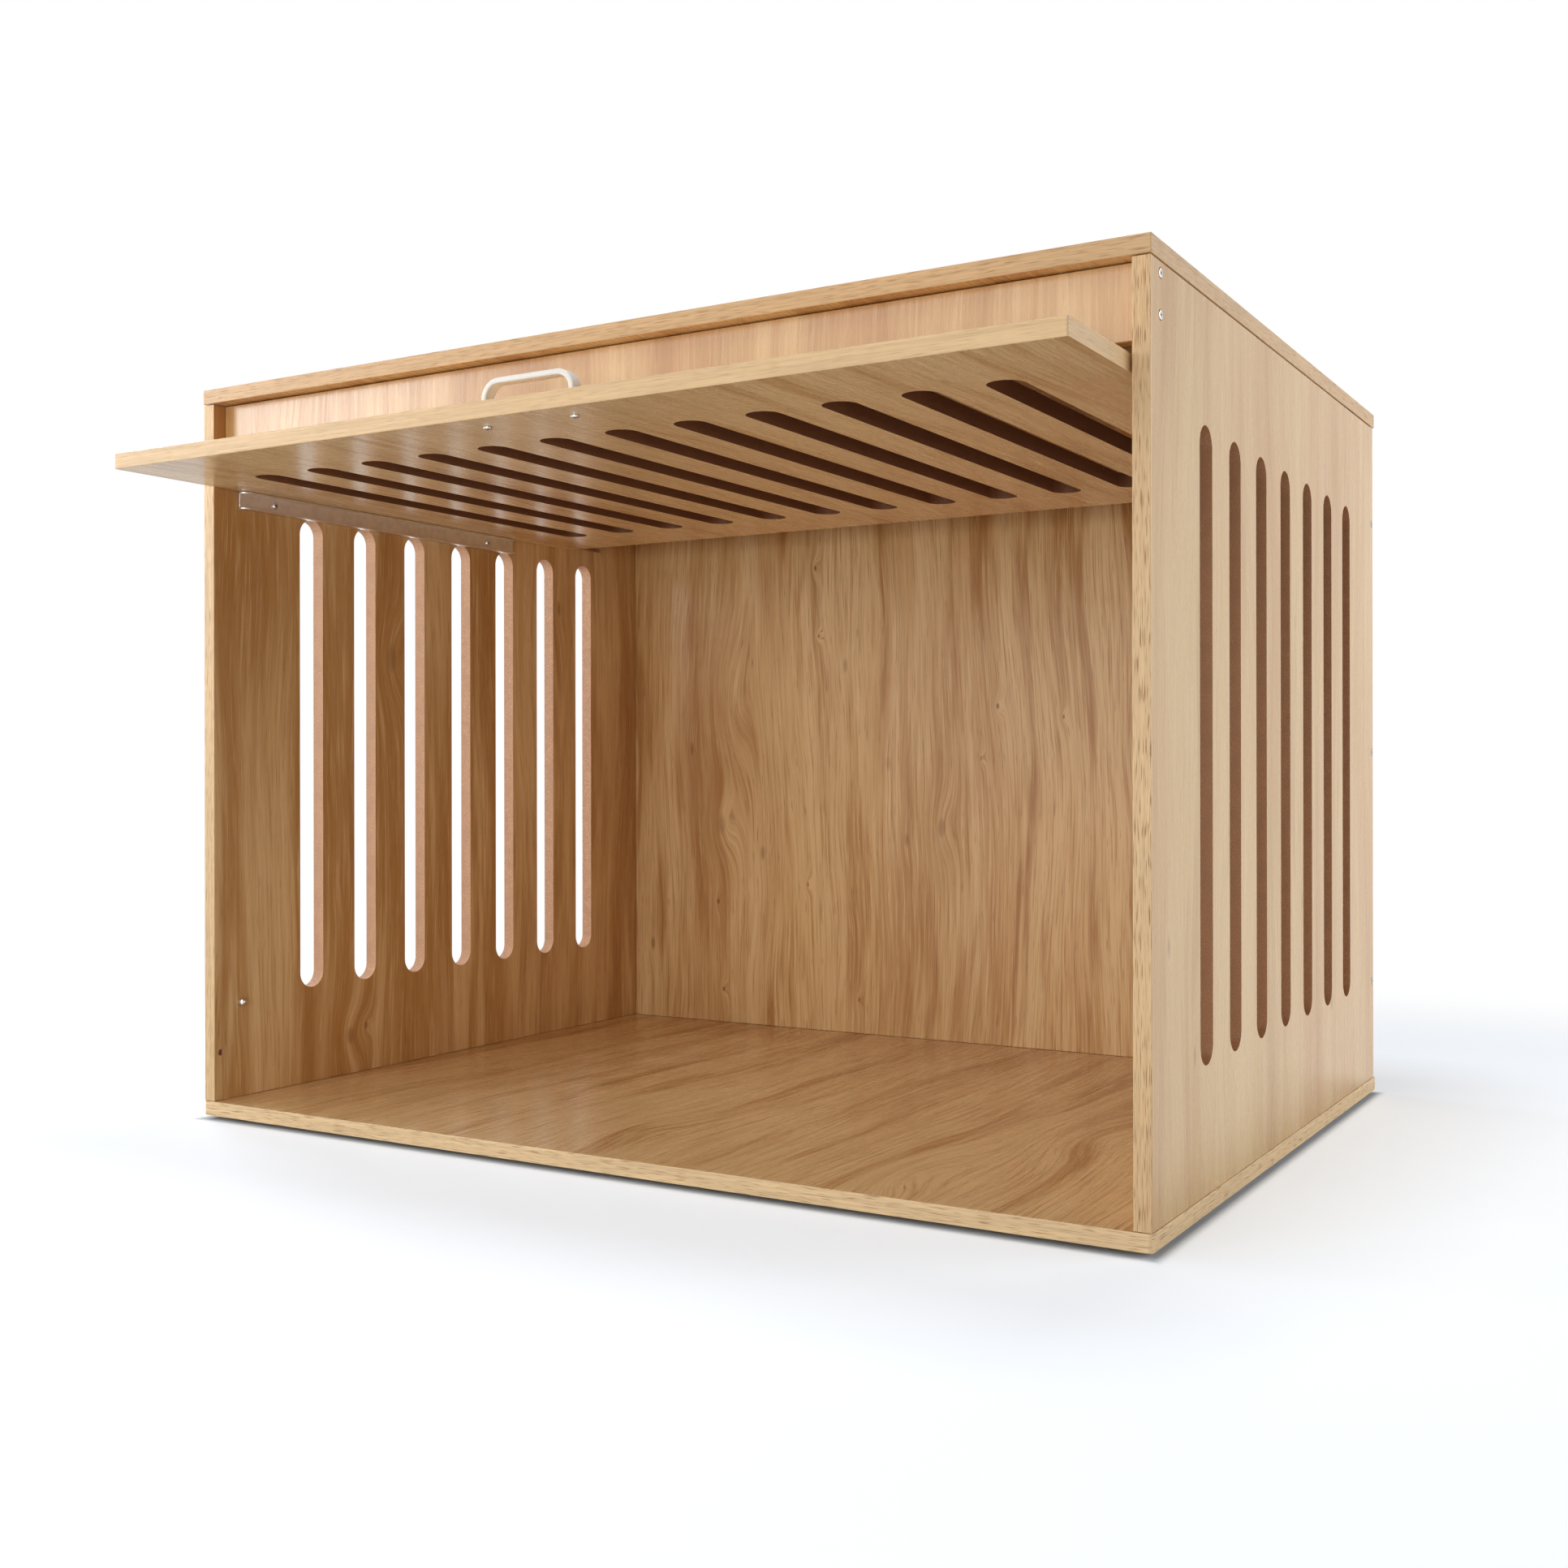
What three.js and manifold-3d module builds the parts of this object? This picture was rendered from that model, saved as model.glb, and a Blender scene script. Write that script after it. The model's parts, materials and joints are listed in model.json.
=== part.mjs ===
// Indoor pet crate in wood-look board: a five-board cabinet with slotted sides,
// and a slotted front door that lies flat on two wall rails when it is open.
// Millimetres. +X to the right, +Y to the back, +Z up.
// Origin: on the floor, under the middle of the bottom panel.

import * as THREE from "three";
import { mergeVertices } from "three/addons/utils/BufferGeometryUtils.js";
import Module from "manifold-3d";

// ---------- driving dimensions ----------

// cabinet
const WIDTH = 1040;
const SIDE_DEPTH = 770;
const SIDE_HEIGHT = 739.4;
const BOARD = 15;
const BACK_BOARD = 9;
const COVER_OVERHANG = 0.6;
const COVER_REAR_OVERHANG = 5.4;
const COVER_CORNER_RADIUS = 4;
const SEAT_GAP = 0.3;

// fascia board behind the closed door's top edge
const FASCIA_HEIGHT = 61;
const FASCIA_SETBACK = 15.5;

// ventilation slots: margins run from a board's edge to a slot's end, or to the first and last centre line
const SIDE_SLOT = { count: 7, width: 34.5, endMargin: 106.7, frontMargin: 137.9, rearMargin: 131.7 };
const DOOR_SLOT = { count: 12, width: 32, endMargin: 99.5, sideMargin: 96.5 };
const SLOT_STEPS = 7;

// door, and where it lies at rest
const DOOR_END_CLEARANCE = 7;
const DOOR_SIDE_GAP = 1.5;
const DOOR_REST_OUT = 125.5;
const DOOR_FASCIA_CLEARANCE = 12.4;
const DOOR_CORNER_RADIUS = 2;

// rails that the open door rests on
const RAIL = { length: 454, height: 19, depth: 10, web: 1.6, flange: 2.2, setback: 32.5, holeInset: 50 };

// pivot pins at the door's rear corners, and their grooves in the side panels
const PIN = { radius: 2.5, insertion: 25, projection: 8.5, edgeDistance: 8.5 };
const GROOVE = { clearance: 0.5, depth: 8.5, frontCentre: 8.5 };
const SLIDE_IN = 77;

// spring-loaded ball in the door's left edge, and its keeper hole
const CATCH = { radius: 3.5, length: 14, bore: 2.65, ball: 2.5, reach: 1.9, edgeDistance: 48 };
const KEEPER = { radius: 3.5, depth: 6, rise: 51, setback: 8.5 };
const SPRING = { wire: 0.35, coil: 1.9, turns: 5, stepsPerTurn: 10, wireSides: 3 };

// handle
const HANDLE = { spacing: 96, edgeDistance: 32, height: 25, width: 12.5, strap: 5, corner: 13 };

// domed pegs low on the side walls
const PEG = { radius: 4.4, neck: 3, dome: 4, shank: 2, length: 12, setback: 35.5, rise: 101.5 };

// glides under the bottom panel
const GLIDE = { radius: 12, height: 4, nail: 1.2, nailLength: 10, inset: 60 };

// screws: a countersunk or pan head on a plain shank
const FASCIA_SCREW = { head: 4, headHeight: 2.4, shank: 2, length: 42, sunk: true };
const BACK_SCREW = { head: 3.5, headHeight: 2.2, shank: 1.75, length: 38, sunk: true };
const BASE_SCREW = { head: 4.5, headHeight: 3, shank: 2.5, length: 48, sunk: true };
const RAIL_SCREW = { head: 3.6, headHeight: 2.2, shank: 1.6, length: 13.5, sunk: false };
const HANDLE_SCREW = { head: 4, headHeight: 2.2, shank: 1.8, length: 22, sunk: false };
const FASCIA_SCREW_RISES = [19, 51];
const BACK_SCREW_INSET = 110;
const BASE_SCREW_INSET = 60;
const BACK_BASE_SCREW_SPREAD = 500;
const FIT = 0.3;

// knock-down fittings between the top panel and the side panels
const CAM = { radius: 7.4, depth: 12.4, drop: 24, bolt: 2, boltHead: 3.1, boltHeadHeight: 4, boltInTop: 11 };
const CAM_INSET = 120;
const DOWEL = { radius: 3.9, length: 29, inTop: 10.5 };
const DOWEL_INSET = 60;

// ---------- derived places ----------

const HALF_WIDTH = WIDTH / 2;
const INNER_HALF = HALF_WIDTH - BOARD;
const COVER_DEPTH = SIDE_DEPTH + COVER_OVERHANG + COVER_REAR_OVERHANG;
const FRONT_Y = -COVER_DEPTH / 2 + COVER_OVERHANG;
const REAR_Y = FRONT_Y + SIDE_DEPTH;
const SIDE_BASE = GLIDE.height + BOARD + SEAT_GAP;
const SIDE_TOP = SIDE_BASE + SIDE_HEIGHT;
const TOP_BASE = SIDE_TOP + SEAT_GAP;
const FASCIA_BASE = SIDE_TOP - FASCIA_HEIGHT;
const FASCIA_MID_Y = FRONT_Y + FASCIA_SETBACK + BOARD / 2;
const BACK_MID_Y = REAR_Y - BACK_BOARD / 2;

const DOOR_LENGTH = TOP_BASE - GLIDE.height - BOARD - DOOR_END_CLEARANCE;
const DOOR_BASE = FASCIA_BASE - DOOR_FASCIA_CLEARANCE - BOARD;
const DOOR_MID_Z = DOOR_BASE + BOARD / 2;
const DOOR_FRONT_Y = FRONT_Y - DOOR_REST_OUT;
const DOOR_REAR_Y = DOOR_FRONT_Y + DOOR_LENGTH;
const DOOR_MID_Y = (DOOR_FRONT_Y + DOOR_REAR_Y) / 2;
const DOOR_HALF = INNER_HALF - DOOR_SIDE_GAP;
const PIN_Y = DOOR_REAR_Y - PIN.edgeDistance;
const HANDLE_Y = DOOR_FRONT_Y + HANDLE.edgeDistance;
const CATCH_Y = DOOR_FRONT_Y + CATCH.edgeDistance;

const RAIL_TOP = DOOR_BASE - SEAT_GAP;
const RAIL_FRONT_Y = FRONT_Y + RAIL.setback;
const RAIL_SCREW_YS = [RAIL_FRONT_Y + RAIL.holeInset, RAIL_FRONT_Y + RAIL.length - RAIL.holeInset];
const BACK_SCREW_ZS = [SIDE_BASE + BACK_SCREW_INSET, (SIDE_BASE + SIDE_TOP) / 2, SIDE_TOP - BACK_SCREW_INSET];
const BASE_SCREW_YS = [FRONT_Y + BASE_SCREW_INSET, (FRONT_Y + REAR_Y) / 2, REAR_Y - BASE_SCREW_INSET];
const CAM_YS = [FRONT_Y + CAM_INSET, REAR_Y - CAM_INSET];
const DOWEL_YS = [FRONT_Y + DOWEL_INSET, REAR_Y - DOWEL_INSET];
const SIDES = [
  { name: "left", sign: -1 },
  { name: "right", sign: 1 },
];

// ---------- solids ----------

const wasm = await Module();
wasm.setup();

/** Turn a closed three.js geometry into a solid that can be cut and joined. */
function solid(geometry) {
  const bare = geometry.clone();
  for (const name of Object.keys(bare.attributes)) {
    if (name !== "position") bare.deleteAttribute(name);
  }
  const merged = mergeVertices(bare, 1e-4);
  return new wasm.Manifold(new wasm.Mesh({
    numProp: 3,
    vertProperties: new Float32Array(merged.attributes.position.array),
    triVerts: new Uint32Array(merged.index.array),
  }));
}

/** Turn a solid back into a geometry. */
function geometryOf(body) {
  const mesh = body.getMesh();
  const geometry = new THREE.BufferGeometry();
  geometry.setAttribute("position", new THREE.BufferAttribute(mesh.vertProperties, 3));
  geometry.setIndex(new THREE.BufferAttribute(mesh.triVerts, 1));
  geometry.computeVertexNormals();
  return geometry;
}

/** The body with every tool cut out of it. */
function cut(body, tools) {
  return tools.reduce((rest, tool) => rest.subtract(tool), body);
}

/** A box between two corners. */
function box([x0, y0, z0], [x1, y1, z1]) {
  const geometry = new THREE.BoxGeometry(x1 - x0, y1 - y0, z1 - z0);
  return solid(geometry.translate((x0 + x1) / 2, (y0 + y1) / 2, (z0 + z1) / 2));
}

/** A flat shape raised along +Z from 0 to height. */
function raised(shape, height, curveSegments = SLOT_STEPS) {
  return new THREE.ExtrudeGeometry(shape, { depth: height, bevelEnabled: false, steps: 1, curveSegments });
}

/** The geometry with its own +Z turned to point along `direction`, then moved to `at`. */
function aim(geometry, at, direction) {
  const turn = new THREE.Quaternion().setFromUnitVectors(new THREE.Vector3(0, 0, 1), direction);
  return geometry.applyQuaternion(turn).translate(...at);
}

/** A cylinder from `at` along `direction`. */
function rod(at, direction, radius, length, sides = 12) {
  const geometry = new THREE.CylinderGeometry(radius, radius, length, sides);
  return solid(aim(geometry.rotateX(Math.PI / 2).translate(0, 0, length / 2), at, direction));
}

/** A shape turned about +Z from [radius, height] points that start and end on the axis. */
function turned(points, sides = 16) {
  const profile = points.map(([radius, height]) => new THREE.Vector2(radius, height));
  return new THREE.LatheGeometry(profile, sides).rotateX(Math.PI / 2);
}

const X = new THREE.Vector3(1, 0, 0);
const Z = new THREE.Vector3(0, 0, 1);

/** The horizontal direction that points out of the cabinet on one side. */
function outward(side) {
  return X.clone().multiplyScalar(side.sign);
}

/** A round-ended slot outline, `length` along Y, centred on a point. */
function slotShape(x, y, width, length) {
  const radius = width / 2;
  const reach = length / 2 - radius;
  const shape = new THREE.Shape();
  shape.absarc(x, y + reach, radius, 0, Math.PI, false);
  shape.absarc(x, y - reach, radius, Math.PI, 2 * Math.PI, false);
  shape.closePath();
  return shape;
}

/** Rectangle outline with one radius at its front corners and one at its rear corners. */
function plateShape(halfX, y0, y1, frontRadius, rearRadius) {
  const quarter = Math.PI / 2;
  const shape = new THREE.Shape();
  shape.absarc(halfX - frontRadius, y0 + frontRadius, frontRadius, -quarter, 0, false);
  shape.absarc(halfX - rearRadius, y1 - rearRadius, rearRadius, 0, quarter, false);
  shape.absarc(-halfX + rearRadius, y1 - rearRadius, rearRadius, quarter, 2 * quarter, false);
  shape.absarc(-halfX + frontRadius, y0 + frontRadius, frontRadius, 2 * quarter, 3 * quarter, false);
  shape.closePath();
  return shape;
}

/** Evenly spread centres from a first to a last one. */
function row(count, first, last) {
  return Array.from({ length: count }, (_, i) => first + (last - first) * (i / (count - 1)));
}

// ---------- screws ----------
// A screw's own axis is +Z from its seat into the wood; a sunk head ends flush at 0.

/** Profile of a screw, grown by `extra` all round for its hole. */
function screwProfile(screw, extra) {
  const { head, headHeight, shank, length, sunk } = screw;
  if (sunk) {
    return [[0, 0], [head + extra, 0], [head + extra, 0.4], [shank + extra, headHeight + extra],
      [shank + extra, length + extra], [0, length + extra]];
  }
  return [[0, -headHeight], [head * 0.7, -headHeight], [head, -headHeight * 0.45], [head, 0],
    [shank, 0], [shank, length - 1.5], [0.4, length], [0, length]];
}

/** A screw with a cross recess in its head. */
function screwSolid(screw) {
  const crown = screw.sunk ? 0 : -screw.headHeight;
  const arm = screw.head * 0.55;
  const slit = screw.head * 0.13;
  const recess = [
    box([-arm, -slit, crown - 1], [arm, slit, crown + 1.1]),
    box([-slit, -arm, crown - 1], [slit, arm, crown + 1.1]),
  ];
  return cut(solid(turned(screwProfile(screw, 0), 12)), recess);
}

/** The hole that a screw runs in, from its seat inwards. */
function screwHole(screw, at, direction) {
  if (screw.sunk) return solid(aim(turned(screwProfile(screw, FIT), 12), at, direction));
  return rod(at, direction, screw.shank + FIT, screw.length + FIT);
}

const fasciaScrews = SIDES.flatMap((side) => FASCIA_SCREW_RISES.map((rise, i) => ({
  name: `fascia_screw_${side.name}_${["lower", "upper"][i]}`,
  screw: FASCIA_SCREW,
  side,
  at: [side.sign * HALF_WIDTH, FASCIA_MID_Y, FASCIA_BASE + rise],
  direction: outward(side).negate(),
})));

const backScrews = SIDES.flatMap((side) => BACK_SCREW_ZS.map((z, i) => ({
  name: `back_screw_${side.name}_${["lower", "middle", "upper"][i]}`,
  screw: BACK_SCREW,
  side,
  at: [side.sign * HALF_WIDTH, BACK_MID_Y, z],
  direction: outward(side).negate(),
})));

const baseScrews = SIDES.flatMap((side) => BASE_SCREW_YS.map((y, i) => ({
  name: `base_screw_${side.name}_${["front", "middle", "rear"][i]}`,
  screw: BASE_SCREW,
  side,
  at: [side.sign * (HALF_WIDTH - BOARD / 2), y, GLIDE.height],
  direction: Z,
})));

const backBaseScrews = SIDES.map((side) => ({
  name: `back_base_screw_${side.name}`,
  screw: BACK_SCREW,
  side,
  at: [side.sign * BACK_BASE_SCREW_SPREAD / 2, BACK_MID_Y, GLIDE.height],
  direction: Z,
}));

const railScrews = SIDES.flatMap((side) => RAIL_SCREW_YS.map((y, i) => ({
  name: `rail_screw_${side.name}_${["front", "rear"][i]}`,
  screw: RAIL_SCREW,
  side,
  at: [side.sign * (INNER_HALF - SEAT_GAP - RAIL.web - SEAT_GAP), y, RAIL_TOP - RAIL.height / 2],
  direction: outward(side),
})));

const handleScrews = SIDES.map((side) => ({
  name: `handle_screw_${side.name}`,
  screw: HANDLE_SCREW,
  side,
  at: [side.sign * HANDLE.spacing / 2, HANDLE_Y, DOOR_BASE - SEAT_GAP],
  direction: Z,
}));

const holesOf = (screws) => screws.map(({ screw, at, direction }) => screwHole(screw, at, direction));

// ---------- boards ----------

/** Top and bottom panel outline; the bottom panel's front corners are eased. */
function coverPlate(base, cornerRadius) {
  const halfX = HALF_WIDTH + COVER_OVERHANG;
  const shape = plateShape(halfX, FRONT_Y - COVER_OVERHANG, REAR_Y + COVER_REAR_OVERHANG, cornerRadius, 1);
  return solid(raised(shape, BOARD, 3).translate(0, 0, base));
}

const glidePlaces = [
  { name: "front_left", at: [-HALF_WIDTH + GLIDE.inset, FRONT_Y + GLIDE.inset] },
  { name: "front_right", at: [HALF_WIDTH - GLIDE.inset, FRONT_Y + GLIDE.inset] },
  { name: "rear_left", at: [-HALF_WIDTH + GLIDE.inset, REAR_Y - GLIDE.inset] },
  { name: "rear_right", at: [HALF_WIDTH - GLIDE.inset, REAR_Y - GLIDE.inset] },
  { name: "middle", at: [0, 0] },
];

function bottomPanel() {
  const nailHoles = glidePlaces.map(({ at: [x, y] }) => (
    rod([x, y, GLIDE.height - 1], Z, GLIDE.nail + FIT, GLIDE.nailLength + 1 + FIT, 8)));
  return cut(coverPlate(GLIDE.height, COVER_CORNER_RADIUS),
    [...holesOf([...baseScrews, ...backBaseScrews]), ...nailHoles]);
}

const camPlaces = SIDES.flatMap((side) => CAM_YS.map((y, i) => ({
  name: `${side.name}_${["front", "rear"][i]}`,
  side,
  at: [side.sign * (HALF_WIDTH - BOARD / 2), y],
})));

const dowelPlaces = SIDES.flatMap((side) => DOWEL_YS.map((y, i) => ({
  name: `${side.name}_${["front", "rear"][i]}`,
  at: [side.sign * (HALF_WIDTH - BOARD / 2), y],
})));

function topPanel() {
  const boltHoles = camPlaces.map(({ at: [x, y] }) => (
    rod([x, y, TOP_BASE - 1], Z, CAM.bolt + FIT, CAM.boltInTop + 1 + FIT)));
  const dowelHoles = dowelPlaces.map(({ at: [x, y] }) => (
    rod([x, y, TOP_BASE - 1], Z, DOWEL.radius + FIT, DOWEL.inTop + 1 + FIT)));
  return cut(coverPlate(TOP_BASE, 1), [...boltHoles, ...dowelHoles]);
}

/** Slots through a side panel. */
function sideSlots(side) {
  const middleZ = SIDE_BASE + SIDE_HEIGHT / 2;
  const length = SIDE_HEIGHT - 2 * SIDE_SLOT.endMargin;
  return row(SIDE_SLOT.count, FRONT_Y + SIDE_SLOT.frontMargin, REAR_Y - SIDE_SLOT.rearMargin).map((y) => {
    const tool = raised(slotShape(0, 0, SIDE_SLOT.width, length), BOARD + 2);
    tool.rotateX(Math.PI / 2).rotateZ(Math.PI / 2);
    return solid(tool.translate(side.sign > 0 ? INNER_HALF - 1 : -HALF_WIDTH - 1, y, middleZ));
  });
}

/** Groove in a side panel's inner face that the pivot pin slides in. */
function pinGroove(side) {
  const halfHeight = PIN.radius + GROOVE.clearance;
  const frontCentre = FRONT_Y + GROOVE.frontCentre;
  const rearCentre = PIN_Y + SLIDE_IN;
  const length = rearCentre - frontCentre + 2 * halfHeight;
  const tool = raised(slotShape(0, 0, 2 * halfHeight, length), GROOVE.depth + 1, 6);
  tool.rotateY(Math.PI / 2);
  const x = side.sign > 0 ? INNER_HALF - 1 : -INNER_HALF - GROOVE.depth;
  return solid(tool.translate(x, (frontCentre + rearCentre) / 2, DOOR_MID_Z));
}

function sidePanel(side) {
  const inner = side.sign * INNER_HALF;
  const outer = side.sign * HALF_WIDTH;
  const out = outward(side);
  const mine = (list) => list.filter((item) => item.side === side);
  const board = box([Math.min(inner, outer), FRONT_Y, SIDE_BASE], [Math.max(inner, outer), REAR_Y, SIDE_TOP]);
  const screwHoles = holesOf(mine([...fasciaScrews, ...backScrews, ...baseScrews, ...railScrews]));
  const camHoles = mine(camPlaces).flatMap(({ at: [x, y] }) => [
    rod([inner - side.sign, y, SIDE_TOP - CAM.drop], out, CAM.radius + FIT, CAM.depth + 1 + FIT, 16),
    rod([x, y, SIDE_TOP + 1], Z.clone().negate(), CAM.boltHead + FIT, CAM.drop + 1),
  ]);
  const dowelDepth = DOWEL.length - DOWEL.inTop - SEAT_GAP;
  const dowelHoles = dowelPlaces.filter(({ at: [x] }) => x * side.sign > 0).map(({ at: [x, y] }) => (
    rod([x, y, SIDE_TOP + 1], Z.clone().negate(), DOWEL.radius + FIT, dowelDepth + 1 + FIT)));
  const pegHole = rod([inner - side.sign, FRONT_Y + PEG.setback, SIDE_BASE + PEG.rise], out,
    PEG.shank + FIT, PEG.length + 1 + FIT);
  const keeper = rod([inner - side.sign, FRONT_Y + KEEPER.setback, SIDE_BASE + KEEPER.rise], out,
    KEEPER.radius, KEEPER.depth + 1, 16);
  const leftOnly = side.sign < 0 ? [keeper] : [];
  return cut(board, [...sideSlots(side), pinGroove(side), ...screwHoles, ...camHoles, ...dowelHoles,
    pegHole, ...leftOnly]);
}

function backPanel() {
  const halfX = INNER_HALF - SEAT_GAP;
  const board = box([-halfX, REAR_Y - BACK_BOARD, SIDE_BASE], [halfX, REAR_Y, SIDE_TOP]);
  return cut(board, holesOf([...backScrews, ...backBaseScrews]));
}

function fasciaBoard() {
  const halfX = INNER_HALF - SEAT_GAP;
  const y = FRONT_Y + FASCIA_SETBACK;
  return cut(box([-halfX, y, FASCIA_BASE], [halfX, y + BOARD, SIDE_TOP]), holesOf(fasciaScrews));
}

// ---------- door ----------

function doorPanel() {
  const shape = plateShape(DOOR_HALF, DOOR_FRONT_Y, DOOR_REAR_Y, DOOR_CORNER_RADIUS, DOOR_CORNER_RADIUS);
  const slotLength = DOOR_LENGTH - 2 * DOOR_SLOT.endMargin;
  const lastX = DOOR_HALF - DOOR_SLOT.sideMargin;
  for (const x of row(DOOR_SLOT.count, -lastX, lastX)) {
    shape.holes.push(slotShape(x, DOOR_MID_Y, DOOR_SLOT.width, slotLength));
  }
  const plate = solid(raised(shape, BOARD).translate(0, 0, DOOR_BASE));
  const pinHoles = SIDES.map((side) => rod([side.sign * (DOOR_HALF + 1), PIN_Y, DOOR_MID_Z],
    outward(side).negate(), PIN.radius + FIT, PIN.insertion + 1 + FIT, 16));
  const catchHole = rod([-DOOR_HALF - 1, CATCH_Y, DOOR_MID_Z], X, CATCH.radius + FIT,
    CATCH.length + 1 + FIT, 16);
  return cut(plate, [...pinHoles, catchHole, ...holesOf(handleScrews)]);
}

/** Pivot pin, from inside the door's edge into the groove. */
function pivotPin(side) {
  return rod([side.sign * (DOOR_HALF - PIN.insertion), PIN_Y, DOOR_MID_Z], outward(side),
    PIN.radius, PIN.insertion + PIN.projection, 16);
}

/** Flat strap bow standing on the door, drawn in the XZ plane and `width` deep along Y. */
function handleBow() {
  const half = HANDLE.spacing / 2 + HANDLE.strap / 2;
  const shape = new THREE.Shape();
  const inner = half - HANDLE.strap;
  const innerCorner = HANDLE.corner - HANDLE.strap;
  const centreX = half - HANDLE.corner;
  const centreZ = HANDLE.height - HANDLE.corner;
  shape.moveTo(half, 0);
  shape.absarc(centreX, centreZ, HANDLE.corner, 0, Math.PI / 2, false);
  shape.absarc(-centreX, centreZ, HANDLE.corner, Math.PI / 2, Math.PI, false);
  shape.lineTo(-half, 0);
  shape.lineTo(-inner, 0);
  shape.absarc(-centreX, centreZ, innerCorner, Math.PI, Math.PI / 2, true);
  shape.absarc(centreX, centreZ, innerCorner, Math.PI / 2, 0, true);
  shape.lineTo(inner, 0);
  shape.closePath();
  const bow = raised(shape, HANDLE.width, 6).rotateX(Math.PI / 2);
  bow.translate(0, HANDLE_Y + HANDLE.width / 2, DOOR_BASE + BOARD + SEAT_GAP);
  return cut(solid(bow), holesOf(handleScrews));
}

// ---------- catch ----------

const CATCH_MOUTH_X = -DOOR_HALF + FIT;
const BALL_X = CATCH_MOUTH_X - CATCH.reach + CATCH.ball;

function catchBarrel() {
  const at = [CATCH_MOUTH_X, CATCH_Y, DOOR_MID_Z];
  const wall = CATCH.radius - CATCH.bore;
  const bore = rod([CATCH_MOUTH_X - 1, CATCH_Y, DOOR_MID_Z], X, CATCH.bore, CATCH.length + 1 - wall, 16);
  return cut(rod(at, X, CATCH.radius, CATCH.length, 16), [bore]);
}

function catchBall() {
  const ball = new THREE.SphereGeometry(CATCH.ball, 12, 8);
  return solid(ball.translate(BALL_X, CATCH_Y, DOOR_MID_Z));
}

/** Coil spring between the ball and the barrel's floor. */
function catchSpring() {
  const start = BALL_X + CATCH.ball + 0.35 + SPRING.wire;
  const end = CATCH_MOUTH_X + CATCH.length - (CATCH.radius - CATCH.bore) - 0.35 - SPRING.wire;
  const steps = SPRING.turns * SPRING.stepsPerTurn;
  const points = Array.from({ length: steps + 1 }, (_, i) => {
    const angle = (i / SPRING.stepsPerTurn) * 2 * Math.PI;
    return new THREE.Vector3(start + (end - start) * (i / steps),
      CATCH_Y + SPRING.coil * Math.cos(angle), DOOR_MID_Z + SPRING.coil * Math.sin(angle));
  });
  const section = new THREE.Shape();
  section.absarc(0, 0, SPRING.wire, 0, 2 * Math.PI, false);
  const wire = new THREE.ExtrudeGeometry(section, {
    steps, curveSegments: SPRING.wireSides, extrudePath: new THREE.CatmullRomCurve3(points),
  });
  return solid(wire);
}

// ---------- rails, pegs, glides, cams and dowels ----------

/** Channel rail, open towards the cabin, that carries one edge of the open door. */
function rail(side) {
  const wall = INNER_HALF - SEAT_GAP;
  const back = wall - RAIL.web;
  const lip = wall - RAIL.depth;
  const base = RAIL_TOP - RAIL.height;
  const span = (a, b) => [Math.min(a * side.sign, b * side.sign), Math.max(a * side.sign, b * side.sign)];
  const [x0, x1] = span(lip, wall);
  const [c0, c1] = span(lip - 1, back);
  const rearY = RAIL_FRONT_Y + RAIL.length;
  const bar = box([x0, RAIL_FRONT_Y, base], [x1, rearY, RAIL_TOP]);
  const channel = box([c0, RAIL_FRONT_Y - 1, base + RAIL.flange], [c1, rearY + 1, RAIL_TOP - RAIL.flange]);
  return cut(bar, [channel, ...holesOf(railScrews.filter((item) => item.side === side))]);
}

/** Domed peg screwed into a side wall from inside. */
function wallPeg() {
  const { radius, neck, dome, shank, length } = PEG;
  const points = [[0, length], [shank, length], [shank, 0], [radius, 0], [radius, -neck]];
  const steps = 6;
  for (let i = 1; i <= steps; i += 1) {
    const angle = (i / steps) * Math.PI / 2;
    points.push([radius * Math.cos(angle), -neck - dome * Math.sin(angle)]);
  }
  points[points.length - 1][0] = 0;
  return turned(points.reverse());
}

/** Nail-on glide, its flat underside on the floor. */
function glide() {
  const top = GLIDE.height - SEAT_GAP;
  return turned([[0, 0], [GLIDE.radius - 1.5, 0], [GLIDE.radius, 1.5], [GLIDE.radius, top],
    [GLIDE.nail, top], [GLIDE.nail, top + GLIDE.nailLength], [0, top + GLIDE.nailLength]]);
}

/** Cam disc in the side panel, with the hollow that takes the bolt's head. */
function camLock({ side, at: [x, y] }) {
  const z = SIDE_TOP - CAM.drop;
  const disc = rod([side.sign * INNER_HALF, y, z], outward(side), CAM.radius, CAM.depth, 16);
  const hollow = rod([x, y, z - CAM.boltHeadHeight / 2 - 1], Z, CAM.boltHead + FIT, CAM.radius + 4);
  const mouth = side.sign * (INNER_HALF - 1);
  const slot = box([Math.min(mouth, mouth + side.sign * 2.2), y - 5, z - 0.7],
    [Math.max(mouth, mouth + side.sign * 2.2), y + 5, z + 0.7]);
  return cut(disc, [hollow, slot]);
}

/** Bolt from the top panel down into the cam. */
function camBolt() {
  const reach = CAM.drop + SEAT_GAP;
  return turned([[0, -reach - 1.5], [CAM.boltHead, -reach - 1.5], [CAM.boltHead, -reach + 1],
    [1.4, -reach + 2], [1.4, -9], [CAM.bolt, -8], [CAM.bolt, CAM.boltInTop], [0, CAM.boltInTop]], 12);
}

// ---------- materials ----------

/** Plain material of one colour. */
function finish(color, roughness, metalness = 0) {
  return new THREE.MeshStandardMaterial({ color, roughness, metalness });
}

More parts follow.
